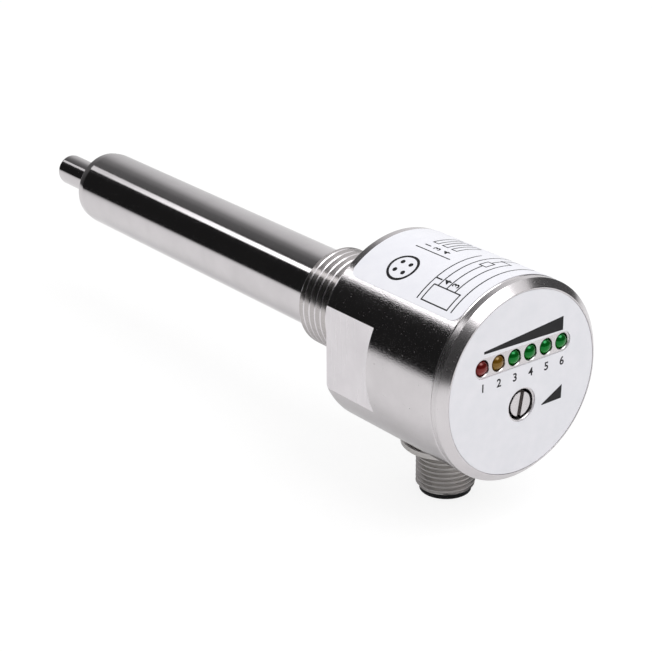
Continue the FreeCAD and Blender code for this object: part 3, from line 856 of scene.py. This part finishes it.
def ink_height(piece, rise):
    """Face a flat drawing upwards and give the ink its thickness."""
    edit(piece)
    bpy.ops.mesh.remove_doubles(threshold=weld_distance)
    bpy.ops.object.mode_set(mode="OBJECT")
    for face in piece.data.polygons:
        if face.normal.z < 0:
            face.flip()
    modify(piece, "SOLIDIFY", thickness=rise, offset=1)


# %% Lamp numbers
number_row_z = lamp_row_z - 4.0 * mm
numbers = join_pieces("lamp_numbers", [
    flat_number(str(i + 1), x, number_row_z) for i, x in enumerate(lamp_places)])
ink_height(numbers, ink_rise)
numbers.data.transform(Matrix.Translation((0, ink_y, 0)) @ Matrix.Rotation(pi / 2, 4, "X"))
dress(numbers, "sensor_body", "front_film")

# %% Side drawing
side_ink_rise = 0.01 * mm
ink_strip = 0.5 * mm
pin_x, pin_y, pin_circle, pin_ring = -9.3 * mm, -12.0 * mm, 1.6 * mm, 3.4 * mm
pin_dot, joint_dot = 0.5 * mm, 0.4 * mm
joint_x, joint_y = 4.5 * mm, -25.0 * mm
drawing = []
for corners in ((-2.9, -18.3, -2.9, -8.8), (-13.8, -20.6, 3.0, -20.6), (-13.8, -30.0, 8.0, -30.0),
                (-9.9, -22.7, 9.0, -22.7), (-9.9, -25.0, -0.6, -25.0), (1.6, -25.0, 9.0, -25.0),
                (-9.9, -27.3, 4.5, -27.3), (4.5, -27.3, 4.5, -25.0)):
    drawing.append(flat_line(*[c * mm for c in corners]))
for corners in ((-13.8, -28.8, -9.9, -21.7), (-0.6, -25.9, 1.6, -24.1), (0.6, -11.2, 7.0, -9.8),
                (0.6, -13.8, 7.0, -12.4), (0.6, -16.4, 7.0, -15.0)):
    drawing += flat_box(*[c * mm for c in corners])
drawing.append(flat_ring(pin_x, pin_y, pin_ring, pin_ring - 2 * line_width))
for i in range(4):
    turn = pi / 4 + i * pi / 2
    drawing.append(flat_ring(pin_x + pin_circle * cos(turn), pin_y + pin_circle * sin(turn), pin_dot, 0))
drawing.append(flat_ring(joint_x, joint_y, joint_dot, 0))
for text, x, y in (("1", -8.4, -21.6), ("4", -8.4, -23.9), ("3", -8.4, -26.2), ("1", -1.3, -10.5),
                   ("3", -1.3, -13.1), ("4", -1.3, -15.7)):
    drawing.append(flat_number(text, x * mm, y * mm))
side_print = join_pieces("side_print", drawing)
slice_strips(side_print, half_width, ink_strip)
ink_height(side_print, side_ink_rise)
wrap(side_print, film_radius + film_thickness)
dress(side_print, "sensor_body", "side_film")

# %% [markdown]
# ## Materials
# One function turns sRGB hex colours to linear, and one adds a node with its settings and links. A
# finish is then a short list of nodes that ends in a shader and an output, and is given to whole pieces
# or to the faces that a test picks.

# %% Material helpers
# Noise lies mostly between these two values.
noise_low, noise_high = 0.3, 0.7


def colour(code):
    """Linear colour of an sRGB hex code."""
    parts = [int(code[i:i + 2], 16) / 255 for i in (1, 3, 5)]
    return tuple(p / 12.92 if p <= 0.04045 else ((p + 0.055) / 1.055) ** 2.4 for p in parts) + (1,)


def add(tree, kind, settings=None, links=None):
    """Add a node. Settings are its properties, sockets or ramp stops. Links join its sockets to sources,
    where a node stands for its first output."""
    node = tree.nodes.new(kind)
    for key, value in (settings or {}).items():
        if key == "stops":
            ramp = node.color_ramp.elements
            while len(ramp) < len(value):
                ramp.new(1.0)
            for element, (position, code) in zip(ramp, value):
                element.position = position
                element.color = colour(code)
        elif isinstance(key, str) and hasattr(node, key):
            setattr(node, key, value)
        else:
            node.inputs[key].default_value = value
    for key, source in (links or {}).items():
        tree.links.new(getattr(source, "outputs", [source])[0], node.inputs[key])
    return node


def blank(owner):
    """Switch a new material or world to nodes, and give back its tree with nothing in it."""
    owner.use_nodes = True
    owner.node_tree.nodes.clear()
    return owner.node_tree


def new_finish(name):
    """New material, its tree, and the place on the piece that its patterns start from."""
    made = bpy.data.materials.new(name)
    tree = blank(made)
    return made, tree, add(tree, "ShaderNodeTexCoord").outputs["Object"]


def paint(finish, *pieces):
    """Give pieces one finish."""
    for piece in pieces:
        piece.data.materials.clear()
        piece.data.materials.append(finish)


def paint_faces(finish, piece, chosen):
    """Give one more finish to those faces of a piece that a test picks."""
    piece.data.materials.append(finish)
    for face in piece.data.polygons:
        if chosen(face):
            face.material_index = len(piece.data.materials) - 1


# %% [markdown]
# ## Machined stainless steel
# Stainless steel mirrors its room, and the tool leaves its mark on how sharp that mirror is. Lines run
# round the axis on turned parts, so the pattern changes fast along the axis and slowly across it. On
# the milled flats the same stretch gives the upright streaks that a face mill leaves. Grinding adds a
# fine grain that dulls the mirror in specks. Real lines and grain are finer than a pixel, so both are
# drawn a little coarser here. Scuffs are short straight scratches from handling: cells stretched along
# one direction, of which only a few keep a thin mark at their middle.

# %% Scratch recipe
scratch_width = 0.3 * mm
kept_above = 0.96
mark_edge, mark_middle = 0.22, 0.1


def scratches(tree, place, turn, length):
    """Share of a few short straight marks, laid at a turn about the X axis."""
    laid = add(tree, "ShaderNodeMapping", {
        "vector_type": "TEXTURE", "Rotation": (turn, 0, 0),
        "Scale": (scratch_width, length, scratch_width)}, {"Vector": place})
    cells = add(tree, "ShaderNodeTexVoronoi", {"Scale": 1.0}, {"Vector": laid})
    chance = add(tree, "ShaderNodeSeparateColor", links={"Color": cells.outputs["Color"]})
    kept = add(tree, "ShaderNodeMath", {"operation": "GREATER_THAN", 1: kept_above},
               {0: chance.outputs["Red"]})
    thin = add(tree, "ShaderNodeMapRange", {"From Min": mark_edge, "From Max": mark_middle},
               {"Value": cells})
    return add(tree, "ShaderNodeMath", {"operation": "MULTIPLY"}, {0: thin, 1: kept})


# %% Tool line recipe
line_stretch = 0.03


def tool_lines(tree, place, line, ringed):
    """Height of tool lines of a spacing: stretched round the axis, or even rings on a turned face."""
    if not ringed:
        stretch = (line_stretch / line, 1 / line, line_stretch / line)
        lined = add(tree, "ShaderNodeMapping", {"Scale": stretch}, {"Vector": place})
        return add(tree, "ShaderNodeTexNoise", {"Scale": 1.0, "Detail": 3.0}, {"Vector": lined})
    parts = add(tree, "ShaderNodeSeparateXYZ", links={"Vector": place})
    flat = add(tree, "ShaderNodeVectorMath", {"operation": "MULTIPLY", 1: (1, 0, 1)}, {0: place})
    reach = add(tree, "ShaderNodeVectorMath", {"operation": "LENGTH"}, {0: flat})
    along = add(tree, "ShaderNodeMath", {"operation": "ADD"},
                {0: reach.outputs["Value"], 1: parts.outputs["Y"]})
    return add(tree, "ShaderNodeTexNoise", {"noise_dimensions": "1D", "Scale": 1 / line, "Detail": 3.0},
               {"W": along})


# %% Steel recipe
steel_patch = 6.0 * mm
steel_grain = 0.2 * mm
speckle_start = 0.45
scratch_kinds = (
    (radians(35), 2.0 * mm), (radians(-50), 3.0 * mm), (radians(80), 1.4 * mm), (0, 0.3 * mm))
quarter_turn = 0.25


def machined_steel(name, tones, roughness, line, relief, grain_share, scuffs, speckle=0.0, ringed=False,
                   brushed=0.0):
    """Steel with tool lines of a spacing, a fine grain, soft patches and broken scratches."""
    made, tree, place = new_finish(name)
    lines = tool_lines(tree, place, line, ringed)
    patches = add(tree, "ShaderNodeTexNoise", {"Scale": 1 / steel_patch, "Detail": 4.0},
                  {"Vector": place})
    grain = add(tree, "ShaderNodeTexNoise", {"Scale": 1 / steel_grain, "Detail": 3.0}, {"Vector": place})
    marks = scratches(tree, place, *scratch_kinds[0])
    for kind in scratch_kinds[1:]:
        marks = add(tree, "ShaderNodeMath", {"operation": "MAXIMUM"},
                    {0: marks, 1: scratches(tree, place, *kind)})
    tone = add(tree, "ShaderNodeValToRGB", {"stops": [(noise_low, tones[0]), (noise_high, tones[1])]},
               {"Fac": patches})
    worked = add(tree, "ShaderNodeMapRange", {
        "From Min": noise_low, "From Max": noise_high, "To Min": roughness[0], "To Max": roughness[1]},
        {"Value": lines})
    dulled = add(tree, "ShaderNodeMapRange", {
        "From Min": speckle_start, "From Max": noise_high, "To Max": speckle}, {"Value": grain})
    speckled = add(tree, "ShaderNodeMath", {"operation": "ADD"}, {0: worked, 1: dulled})
    scuffed = add(tree, "ShaderNodeMath", {"operation": "MULTIPLY_ADD", 1: scuffs},
                  {0: marks, 2: speckled})
    height = add(tree, "ShaderNodeMath", {"operation": "MULTIPLY_ADD", 1: grain_share},
                 {0: grain, 2: lines})
    bump = add(tree, "ShaderNodeBump", {"Strength": 1.0, "Distance": relief}, {"Height": height})
    settings = {"Metallic": 1.0}
    links = {"Base Color": tone, "Roughness": scuffed, "Normal": bump}
    if brushed:
        tangent = add(tree, "ShaderNodeTangent", {"direction_type": "RADIAL", "axis": "Y"})
        settings.update({"Anisotropic": brushed, "Anisotropic Rotation": quarter_turn})
        links["Tangent"] = tangent
    shader = add(tree, "ShaderNodeBsdfPrincipled", settings, links)
    add(tree, "ShaderNodeOutputMaterial", links={"Surface": shader})
    return made


# %% Steel finishes
bright, pale = ("#D0CCCE", "#D8D4D6"), ("#DDD9DC", "#E6E2E5")
crest_shade, dark = ("#BEB9B9", "#C8C3C3"), ("#625C5A", "#6E6866")
# Polished: a near mirror with long straight bands and the faintest lines round it.
polished = machined_steel("stainless_steel_polished", bright, (0.07, 0.12), 0.45 * mm, 0.0005 * mm,
                          grain_share=5.0, scuffs=0.05)
# Ground: still a mirror, but specks of grain and scuffs break it up.
ground = machined_steel("stainless_steel_ground", bright, (0.07, 0.11), 0.3 * mm, 0.0009 * mm,
                        grain_share=14.0, scuffs=0.3, speckle=0.13)
# Milled: a pale satin with upright streaks.
milled = machined_steel("stainless_steel_milled", pale, (0.26, 0.34), 0.4 * mm, 0.004 * mm,
                        grain_share=0.2, scuffs=0.05)
# Turned and faced: soft rings, with the chamfer's finer cut a little sharper.
turned = machined_steel("stainless_steel_turned", bright, (0.24, 0.3), 0.3 * mm, 0.0002 * mm,
                        grain_share=12.0, scuffs=0.2, ringed=True)
faced = machined_steel("stainless_steel_faced", bright, (0.17, 0.22), 0.3 * mm, 0.0002 * mm,
                       grain_share=12.0, scuffs=0.2, ringed=True)
# Thread crest: greyer tones as painted shade, and brushed one way by its tool, which draws highlights out
# into blocks.
crested = machined_steel("stainless_steel_thread_crest", crest_shade, (0.24, 0.28), 0.3 * mm, 0.0006 * mm,
                         grain_share=4.0, scuffs=0.05, speckle=0.05, brushed=1.0)
# Thread flank: paler tones as painted light, so that the flanks show as light lines.
flanked = machined_steel("stainless_steel_thread_flank", pale, (0.14, 0.2), 0.3 * mm, 0.0004 * mm,
                         grain_share=0.5, scuffs=0.05)
# Painted shade: dark and matt steel in the slot and the seam, where shade falls.
painted_shade_steel = machined_steel("stainless_steel_painted_shade", dark, (0.4, 0.5), 0.2 * mm, 0.002 * mm,
                         grain_share=0.4, scuffs=0.0)
finishes = (polished, ground, milled, turned, faced, crested, flanked, painted_shade_steel)
print("steel finishes", [finish.name for finish in finishes])

# %% Steel parts
square_on = 0.9999
crest_facing = 0.98
crest_depth = 0.1 * mm
slot_slack = 0.01 * mm
slot_start = 0.1 * mm


def reach(face):
    """Line from the main axis out to the middle of a face."""
    return Vector((face.center.x, 0, face.center.z))


def on_flat(face):
    """Face of a wrench flat."""
    off_flat = abs(face.center.x) - (head_radius - flat_depth)
    return abs(face.normal.x) > square_on and abs(off_flat) < fine_edge


def on_chamfer(face):
    """Face of the cap's chamfer."""
    inner_edge = head_radius - cap_chamfer - fine_edge
    return reach(face).length > inner_edge and face.center.y < face_y + cap_chamfer


def in_seam(face):
    """Face in the groove between the cap and the housing."""
    sunk = reach(face).length < head_radius - fine_edge
    return sunk and seam_y - 1.5 * seam_gap < face.center.y < seam_y


def in_slot(face):
    """Face of the adjuster's slot."""
    spot = Matrix.Rotation(-slot_tilt, 3, "Y") @ (face.center - adjuster_axis)
    deep = head_front_y + slot_start < spot.y < head_front_y + adjuster_head
    return deep and abs(spot.x) < slot_width / 2 + slot_slack


def on_crest(face):
    """Face on a crest of the pipe thread."""
    spoke = reach(face)
    return spoke.length > pipe_radius - crest_depth and face.normal.dot(spoke.normalized()) > crest_facing


paint(polished, tube, tip)
paint(ground, housing)
paint(turned, cap, spindle)
paint(flanked, nipple)
paint_faces(milled, housing, on_flat)
paint_faces(faced, cap, on_chamfer)
# The seam groove and the adjuster's slot get dark steel as painted shade.
paint_faces(painted_shade_steel, cap, in_seam)
paint_faces(painted_shade_steel, spindle, in_slot)
# Crest faces take a greyer tone as painted shade, and the flanks keep a paler one as painted light.
paint_faces(crested, nipple, on_crest)
for piece in (housing, cap, spindle, nipple):
    print(piece.name, "finishes", [finish.name for finish in piece.data.materials])

# %% [markdown]
# ## Plating, films, ink, plastics and boards
# These are all surfaces with a light grain, so one recipe serves them: two near tones in soft patches,
# a grain size, a roughness range and a relief. The numbers come from the real material of each, with
# the grain drawn a little coarser where the real one is finer than a pixel.

# %% Grained recipe


def grained(name, tones, roughness, grain, relief, metallic=0.0, gloss=0.5, spread=10, detail=3.0):
    """Surface with two near tones in patches, and a grain that moves its roughness and its relief."""
    made, tree, place = new_finish(name)
    fine = add(tree, "ShaderNodeTexNoise", {"Scale": 1 / grain, "Detail": 3.0}, {"Vector": place})
    broad = add(tree, "ShaderNodeTexNoise", {"Scale": 1 / (spread * grain), "Detail": detail},
                {"Vector": place})
    tone = add(tree, "ShaderNodeValToRGB", {"stops": [(noise_low, tones[0]), (noise_high, tones[1])]},
               {"Fac": broad})
    dull = add(tree, "ShaderNodeMapRange", {
        "From Min": noise_low, "From Max": noise_high, "To Min": roughness[0], "To Max": roughness[1]},
        {"Value": fine})
    bump = add(tree, "ShaderNodeBump", {"Strength": 1.0, "Distance": relief}, {"Height": fine})
    shader = add(tree, "ShaderNodeBsdfPrincipled", {"Metallic": metallic, "Specular IOR Level": gloss},
                 {"Base Color": tone, "Roughness": dull, "Normal": bump})
    add(tree, "ShaderNodeOutputMaterial", links={"Surface": shader})
    return made


# %% Outer parts
# Nickel plating: duller and warmer than the steel, with a fine mottle and darker patches.
plating = grained("brass_nickel_plated", ("#B6B3B1", "#C2BFBD"), (0.26, 0.4), 0.25 * mm, 0.002 * mm,
                  metallic=1.0, spread=16, detail=2.0)
# Coated film: white with a soft sheen on the side, matt and greyer on the face.
white_film = grained("polyester_film_white", ("#F3F3FA", "#F7F7FD"), (0.36, 0.44), 0.3 * mm, 0.0006 * mm)
pale_film = grained("polyester_film_pale", ("#DADADF", "#DFDEE3"), (0.4, 0.48), 0.25 * mm, 0.0008 * mm)
# Printed ink: a dry black that takes little gloss.
ink = grained("printing_ink_black", ("#1D1D1F", "#252527"), (0.5, 0.6), 0.2 * mm, 0.0005 * mm, gloss=0.2)
# Moulded polyamide: a deep black with the fine grain of its mould.
black_moulded = grained("polyamide_moulded_black", ("#0C0C0D", "#131314"), (0.42, 0.54), 0.15 * mm,
                        0.002 * mm, gloss=0.2)
# Rubber: a duller, dusty black.
rubber = grained("nitrile_rubber_black", ("#111112", "#1A1A1B"), (0.5, 0.62), 0.12 * mm, 0.003 * mm)
paint(plating, shell)
paint(white_film, film)
paint(pale_film, nodes["front_label"])
paint(ink, wedge, ramp, numbers, side_print)
paint(black_moulded, insert, nodes["board_chips"], nodes["board_guides"])
paint(rubber, nodes["adjuster_seal"], nodes["cap_seal"], nodes["connector_seal"])
outer_finishes = (plating, white_film, pale_film, ink, black_moulded, rubber)
print("outer finishes", [finish.name for finish in outer_finishes])

# %% Inner parts
# Each row gives a finish, its two tones, its roughness range, its grain and relief in millimetres, its
# metallic share and its nodes.
inner_finishes = (
    # Glass cloth under solder mask: deep green with a soft gloss.
    ("glass_epoxy_laminate", "#1D5B37", "#24683F", (0.3, 0.42), 0.3, 0.002, 0,
     ("display_board", "main_board")),
    # Moulded thermoset and acetal: even blue and milky white, both with a satin skin.
    ("polyester_moulded_blue", "#1F4C93", "#2757A3", (0.36, 0.46), 0.2, 0.002, 0, ("trimmer_body",)),
    ("polyacetal_moulded_white", "#E4E2DB", "#ECEAE4", (0.38, 0.48), 0.2, 0.002, 0,
     ("trimmer_rotor", "lead_guide")),
    # Extruded insulation: a smooth waxy grey.
    ("fluoropolymer_insulation_grey", "#8C8C8E", "#9A9A9C", (0.36, 0.46), 0.25, 0.001, 0,
     ("connector_leads", "sensor_leads")),
    # Fired ceramic: chalky white, and a dark printed element with a slight gloss.
    ("alumina_fired_white", "#E9E6DF", "#F1EEE8", (0.5, 0.62), 0.1, 0.003, 0, ("sensor_carrier",)),
    ("thick_film_ceramic_dark", "#3A3531", "#4A443F", (0.3, 0.42), 0.12, 0.002, 0,
     ("heated_element", "reference_element")),
    # Gold plating and bright spring steel: clean metal with a light grain.
    ("brass_gold_plated", "#D2A94F", "#DDB862", (0.18, 0.28), 0.15, 0.001, 1,
     ("connector_pins", "board_header")),
    ("spring_steel_bright", "#BFBDBB", "#CAC8C6", (0.2, 0.32), 0.15, 0.001, 1,
     ("spindle_clip", "board_screws", "board_standoffs")),
)
for name, low_tone, high_tone, roughness, grain, relief, metallic, parts in inner_finishes:
    finish = grained(name, (low_tone, high_tone), roughness, grain * mm, relief * mm, metallic)
    paint(finish, *[nodes[part] for part in parts])
    print(name, "on", parts)

# %% [markdown]
# ## Lamp epoxy
# The lamps are unlit. Tinted clear epoxy looks dark at its rim and bright low down, where light that
# entered at the top gathers behind the dome. Light that passes through is costly and noisy, so that light
# and shade are painted into the tint: it grades from a painted dark upper rim to a painted bright lower
# half with height, under a glossy clear surface. Light that comes back out of the dome is coloured too,
# so the gloss has a tint.

# %% Lamp epoxy
epoxy_ior = 1.55
epoxy_roughness = 0.16
epoxy_gloss = 0.9
swirl_size = 0.8 * mm
swirl_share = 0.18


def epoxy(name, tones, sheen):
    """Tinted epoxy with painted light, graded from a painted dark top to a painted bright lower half."""
    made, tree, place = new_finish(name)
    parts = add(tree, "ShaderNodeSeparateXYZ", links={"Vector": place})
    height = add(tree, "ShaderNodeMapRange",
                 {"From Min": lamp_row_z - lamp_radius, "From Max": lamp_row_z + lamp_radius},
                 {"Value": parts.outputs["Z"]})
    swirl = add(tree, "ShaderNodeTexNoise", {"Scale": 1 / swirl_size, "Detail": 2.0}, {"Vector": place})
    mixed = add(tree, "ShaderNodeMath", {"operation": "MULTIPLY_ADD", 1: swirl_share},
                {0: swirl, 2: height})
    # Painted light and shade: the bright stop low down and the dark stop at the top stand in for light
    # gathering in the dome.
    stops = [(0.12, tones[1]), (0.45, tones[2]), (0.75, tones[0])]
    tone = add(tree, "ShaderNodeValToRGB", {"stops": stops}, {"Fac": mixed})
    shader = add(tree, "ShaderNodeBsdfPrincipled", {
        "Roughness": epoxy_roughness, "IOR": epoxy_ior, "Specular IOR Level": epoxy_gloss,
        "Specular Tint": colour(sheen)}, {"Base Color": tone})
    add(tree, "ShaderNodeOutputMaterial", links={"Surface": shader})
    return made


paint(epoxy("epoxy_red", ("#500806", "#8A3E3A", "#6C0806"), "#E8A8A4"), red_lamp)
paint(epoxy("epoxy_amber", ("#5C3E04", "#806424", "#704E00"), "#F4D8A0"), amber_lamp)
paint(epoxy("epoxy_green", ("#00480E", "#007A12", "#005C02"), "#70FFA4"), *green_lamps)
print("lamps painted:", 2 + len(green_lamps))

# %% [markdown]
# ## Floor
# A pale sheet of paper lies under the object and keeps its shadow. To the camera, and to steel that
# mirrors it, the sheet glows a little, so that it runs into the white background. It is clear from
# below, so that the underside of the object can be looked at.

# %% Floor
floor_z = cad_low.z - 0.2 * mm
floor_size = 8.0
camera_share, mirror_share = 0.78, 0.15
paper_glow = 1.08
floor = begin("floor", bpy.ops.mesh.primitive_plane_add, size=floor_size, location=(0, 0, floor_z))
paper = bpy.data.materials.new("paper_floor")
tree = blank(paper)
path = add(tree, "ShaderNodeLightPath")
mirrored = add(tree, "ShaderNodeMath", {"operation": "MAXIMUM"},
               {0: path.outputs["Is Glossy Ray"], 1: path.outputs["Is Transmission Ray"]})
mirrored = add(tree, "ShaderNodeMath", {"operation": "MULTIPLY", 1: mirror_share}, {0: mirrored})
share = add(tree, "ShaderNodeMath", {"operation": "MULTIPLY_ADD", 1: camera_share},
            {0: path.outputs["Is Camera Ray"], 2: mirrored})
sheet = add(tree, "ShaderNodeBsdfDiffuse", {"Color": colour("#F6F6F6")})
glow = add(tree, "ShaderNodeEmission", {"Color": colour("#FFFFFF"), "Strength": paper_glow})
blend = add(tree, "ShaderNodeMixShader", links={"Fac": share, 1: sheet, 2: glow})
below = add(tree, "ShaderNodeNewGeometry")
clear = add(tree, "ShaderNodeBsdfTransparent")
one_sided = add(tree, "ShaderNodeMixShader", links={
    "Fac": below.outputs["Backfacing"], 1: blend, 2: clear})
add(tree, "ShaderNodeOutputMaterial", links={"Surface": one_sided})
paint(paper, floor)
print("floor at", round(floor_z / mm, 2), "mm")

# %% [markdown]
# ## Dark ring
# Polished steel shows its room. So a dark ring stands round the table, for reflections only and open
# above, with a lighter side at the back right, as cards and walls round a photographer's table give.
# Its top edge is higher at the back, which sets where the dark bands on the steel end.

# %% Dark ring
ring_radius = 0.7
skirt_radius = 0.12
ring_steps = 144
ring_floor = floor_z + 1 * mm
above_skirt = 0.1
right_start, back_start = 0.5, 0.1
left_top, right_top, back_top = [ring_radius * tan(radians(angle)) for angle in (41, 38, 56)]


def show_in_gloss_only(piece):
    """Let a studio card show in reflections only."""
    piece.visible_camera = False
    piece.visible_diffuse = False
    piece.visible_shadow = False


ring = begin("dark_ring", bpy.ops.mesh.primitive_circle_add, vertices=ring_steps, radius=skirt_radius,
             location=(0, 0, ring_floor))
settle(ring)
edit(ring)
bpy.ops.mesh.extrude_edges_move()
bpy.ops.transform.resize(value=(ring_radius / skirt_radius, ring_radius / skirt_radius, 1))
bpy.ops.mesh.extrude_edges_move(TRANSFORM_OT_translate={"value": (0, 0, left_top)})
bpy.ops.object.mode_set(mode="OBJECT")
for vertex in ring.data.vertices:
    if vertex.co.z > above_skirt:
        rightness = max(0.0, min(1.0, vertex.co.x / ring_radius + right_start))
        backness = max(0.0, min(1.0, vertex.co.y / ring_radius + back_start))
        front_top = left_top + (right_top - left_top) * rightness
        vertex.co.z = front_top + (back_top - front_top) * backness
show_in_gloss_only(ring)
print("ring tops", [round(top, 3) for top in (left_top, right_top, back_top)], "m")

# %% Dark card
fade_start, fade_end = 0.18, 0.72
wall, tree, place = new_finish("card_dark")
flat = add(tree, "ShaderNodeVectorMath", {"operation": "MULTIPLY", 1: (1, 1, 0)}, {0: place})
out = add(tree, "ShaderNodeVectorMath", {"operation": "LENGTH"}, {0: flat})
cover = add(tree, "ShaderNodeMapRange",
            {"interpolation_type": "SMOOTHSTEP", "From Min": fade_start, "From Max": fade_end},
            {"Value": out.outputs["Value"]})
sweep = add(tree, "ShaderNodeTexGradient", {"gradient_type": "RADIAL"}, {"Vector": place})
level = add(tree, "ShaderNodeValToRGB", {"stops": [
    (0.0, "#181818"), (0.125, "#383838"), (0.3, "#484848"), (0.52, "#505050"), (0.57, "#A0A0A0"),
    (0.611, "#F0F0F0"), (0.65, "#E0E0E0"), (0.675, "#CCCCCC"), (0.708, "#888888"), (0.739, "#646464"),
    (0.775, "#585858"), (0.81, "#181818")]}, {"Fac": sweep.outputs["Fac"]})
card = add(tree, "ShaderNodeEmission", {"Strength": 1.0}, {"Color": level})
clear = add(tree, "ShaderNodeBsdfTransparent")
blend = add(tree, "ShaderNodeMixShader", links={"Fac": cover, 1: clear, 2: card})
add(tree, "ShaderNodeOutputMaterial", links={"Surface": blend})
paint(wall, ring)
print("dark card on", ring.name)

# %% [markdown]
# ## Bright strip
# One bright strip hangs behind the object, like a narrow lamp card. It gives the steel the clear light
# line that runs along the probe and the top of the housing, and it too shows in reflections only.

# %% Bright strip
strip_azimuth, strip_elevation = radians(-156), radians(38.5)
strip_distance = 0.65
strip_centre = (-0.025, -0.035)
strip_tilt = radians(39)
strip_half_length, strip_half_width = 0.22, 0.042
strip_dim, strip_full = 0.85, 2.2
dim_until, full_from = -0.5, 0.0


def aim(azimuth, elevation):
    """Direction from the object, with azimuth 0 at its face and 90 at its right."""
    return Vector((sin(azimuth) * cos(elevation), -cos(azimuth) * cos(elevation), sin(elevation)))


def facing(heading):
    """Turn that points a plane or a lamp at the object."""
    return heading.to_track_quat("Z", "Y").to_matrix().to_4x4()


strip = begin("bright_strip", bpy.ops.mesh.primitive_plane_add, size=2)
heading = aim(strip_azimuth, strip_elevation)
strip.matrix_world = (Matrix.Translation(heading * strip_distance) @ facing(heading)
                      @ Matrix.Translation((*strip_centre, 0)) @ Matrix.Rotation(strip_tilt, 4, "Z")
                      @ Matrix.Diagonal((strip_half_length, strip_half_width, 1, 1)))
show_in_gloss_only(strip)
lit, tree, place = new_finish("card_bright")
parts = add(tree, "ShaderNodeSeparateXYZ", links={"Vector": place})
level = add(tree, "ShaderNodeMapRange", {
    "From Min": dim_until, "From Max": full_from, "To Min": strip_dim, "To Max": strip_full},
    {"Value": parts.outputs["X"]})
card = add(tree, "ShaderNodeEmission", {"Color": colour("#FFFFFF")}, {"Strength": level})
add(tree, "ShaderNodeOutputMaterial", links={"Surface": card})
paint(lit, strip)
print("bright strip", strip_distance, "m away")

# %% [markdown]
# ## Key light and surround
# One square softbox in front and above shapes the object, and an even pale surround fills the rest. The
# surround is plain white to the camera and to steel, and a little weaker as light, so pale films don't
# clip.

# %% Key softbox
key_azimuth, key_elevation, key_distance = radians(10), radians(56), 0.9
key_size, key_power = 0.55, 3.4
key_place = aim(key_azimuth, key_elevation) * key_distance
key_data = bpy.data.lights.new("key_softbox", "AREA")
key_data.shape = "SQUARE"
key_data.size = key_size
key_data.energy = key_power
key_light = bpy.data.objects.new("key_softbox", key_data)
bpy.context.scene.collection.objects.link(key_light)
key_light.matrix_world = Matrix.Translation(key_place) @ facing(key_place)
print("key softbox", round(key_place.z, 2), "m up")

# %% Surround
light_level, seen_level = 0.72, 1.0
world = bpy.data.worlds.new("studio")
bpy.context.scene.world = world
tree = blank(world)
path = add(tree, "ShaderNodeLightPath")
seen = add(tree, "ShaderNodeMath", {"operation": "ADD"},
           {0: path.outputs["Is Camera Ray"], 1: path.outputs["Is Glossy Ray"]})
seen = add(tree, "ShaderNodeMath", {"operation": "ADD", "use_clamp": True},
           {0: seen, 1: path.outputs["Is Transmission Ray"]})
level = add(tree, "ShaderNodeMapRange", {"To Min": light_level, "To Max": seen_level}, {"Value": seen})
sky = add(tree, "ShaderNodeBackground", {"Color": colour("#FFFFFF")}, {"Strength": level})
add(tree, "ShaderNodeOutputWorld", links={"Surface": sky})
print("surround lights at", light_level)

# %% [markdown]
# ## Finish
# The plain Standard view shows a colour about as it is written.

# %% Finish
bpy.context.scene.view_settings.view_transform = "Standard"
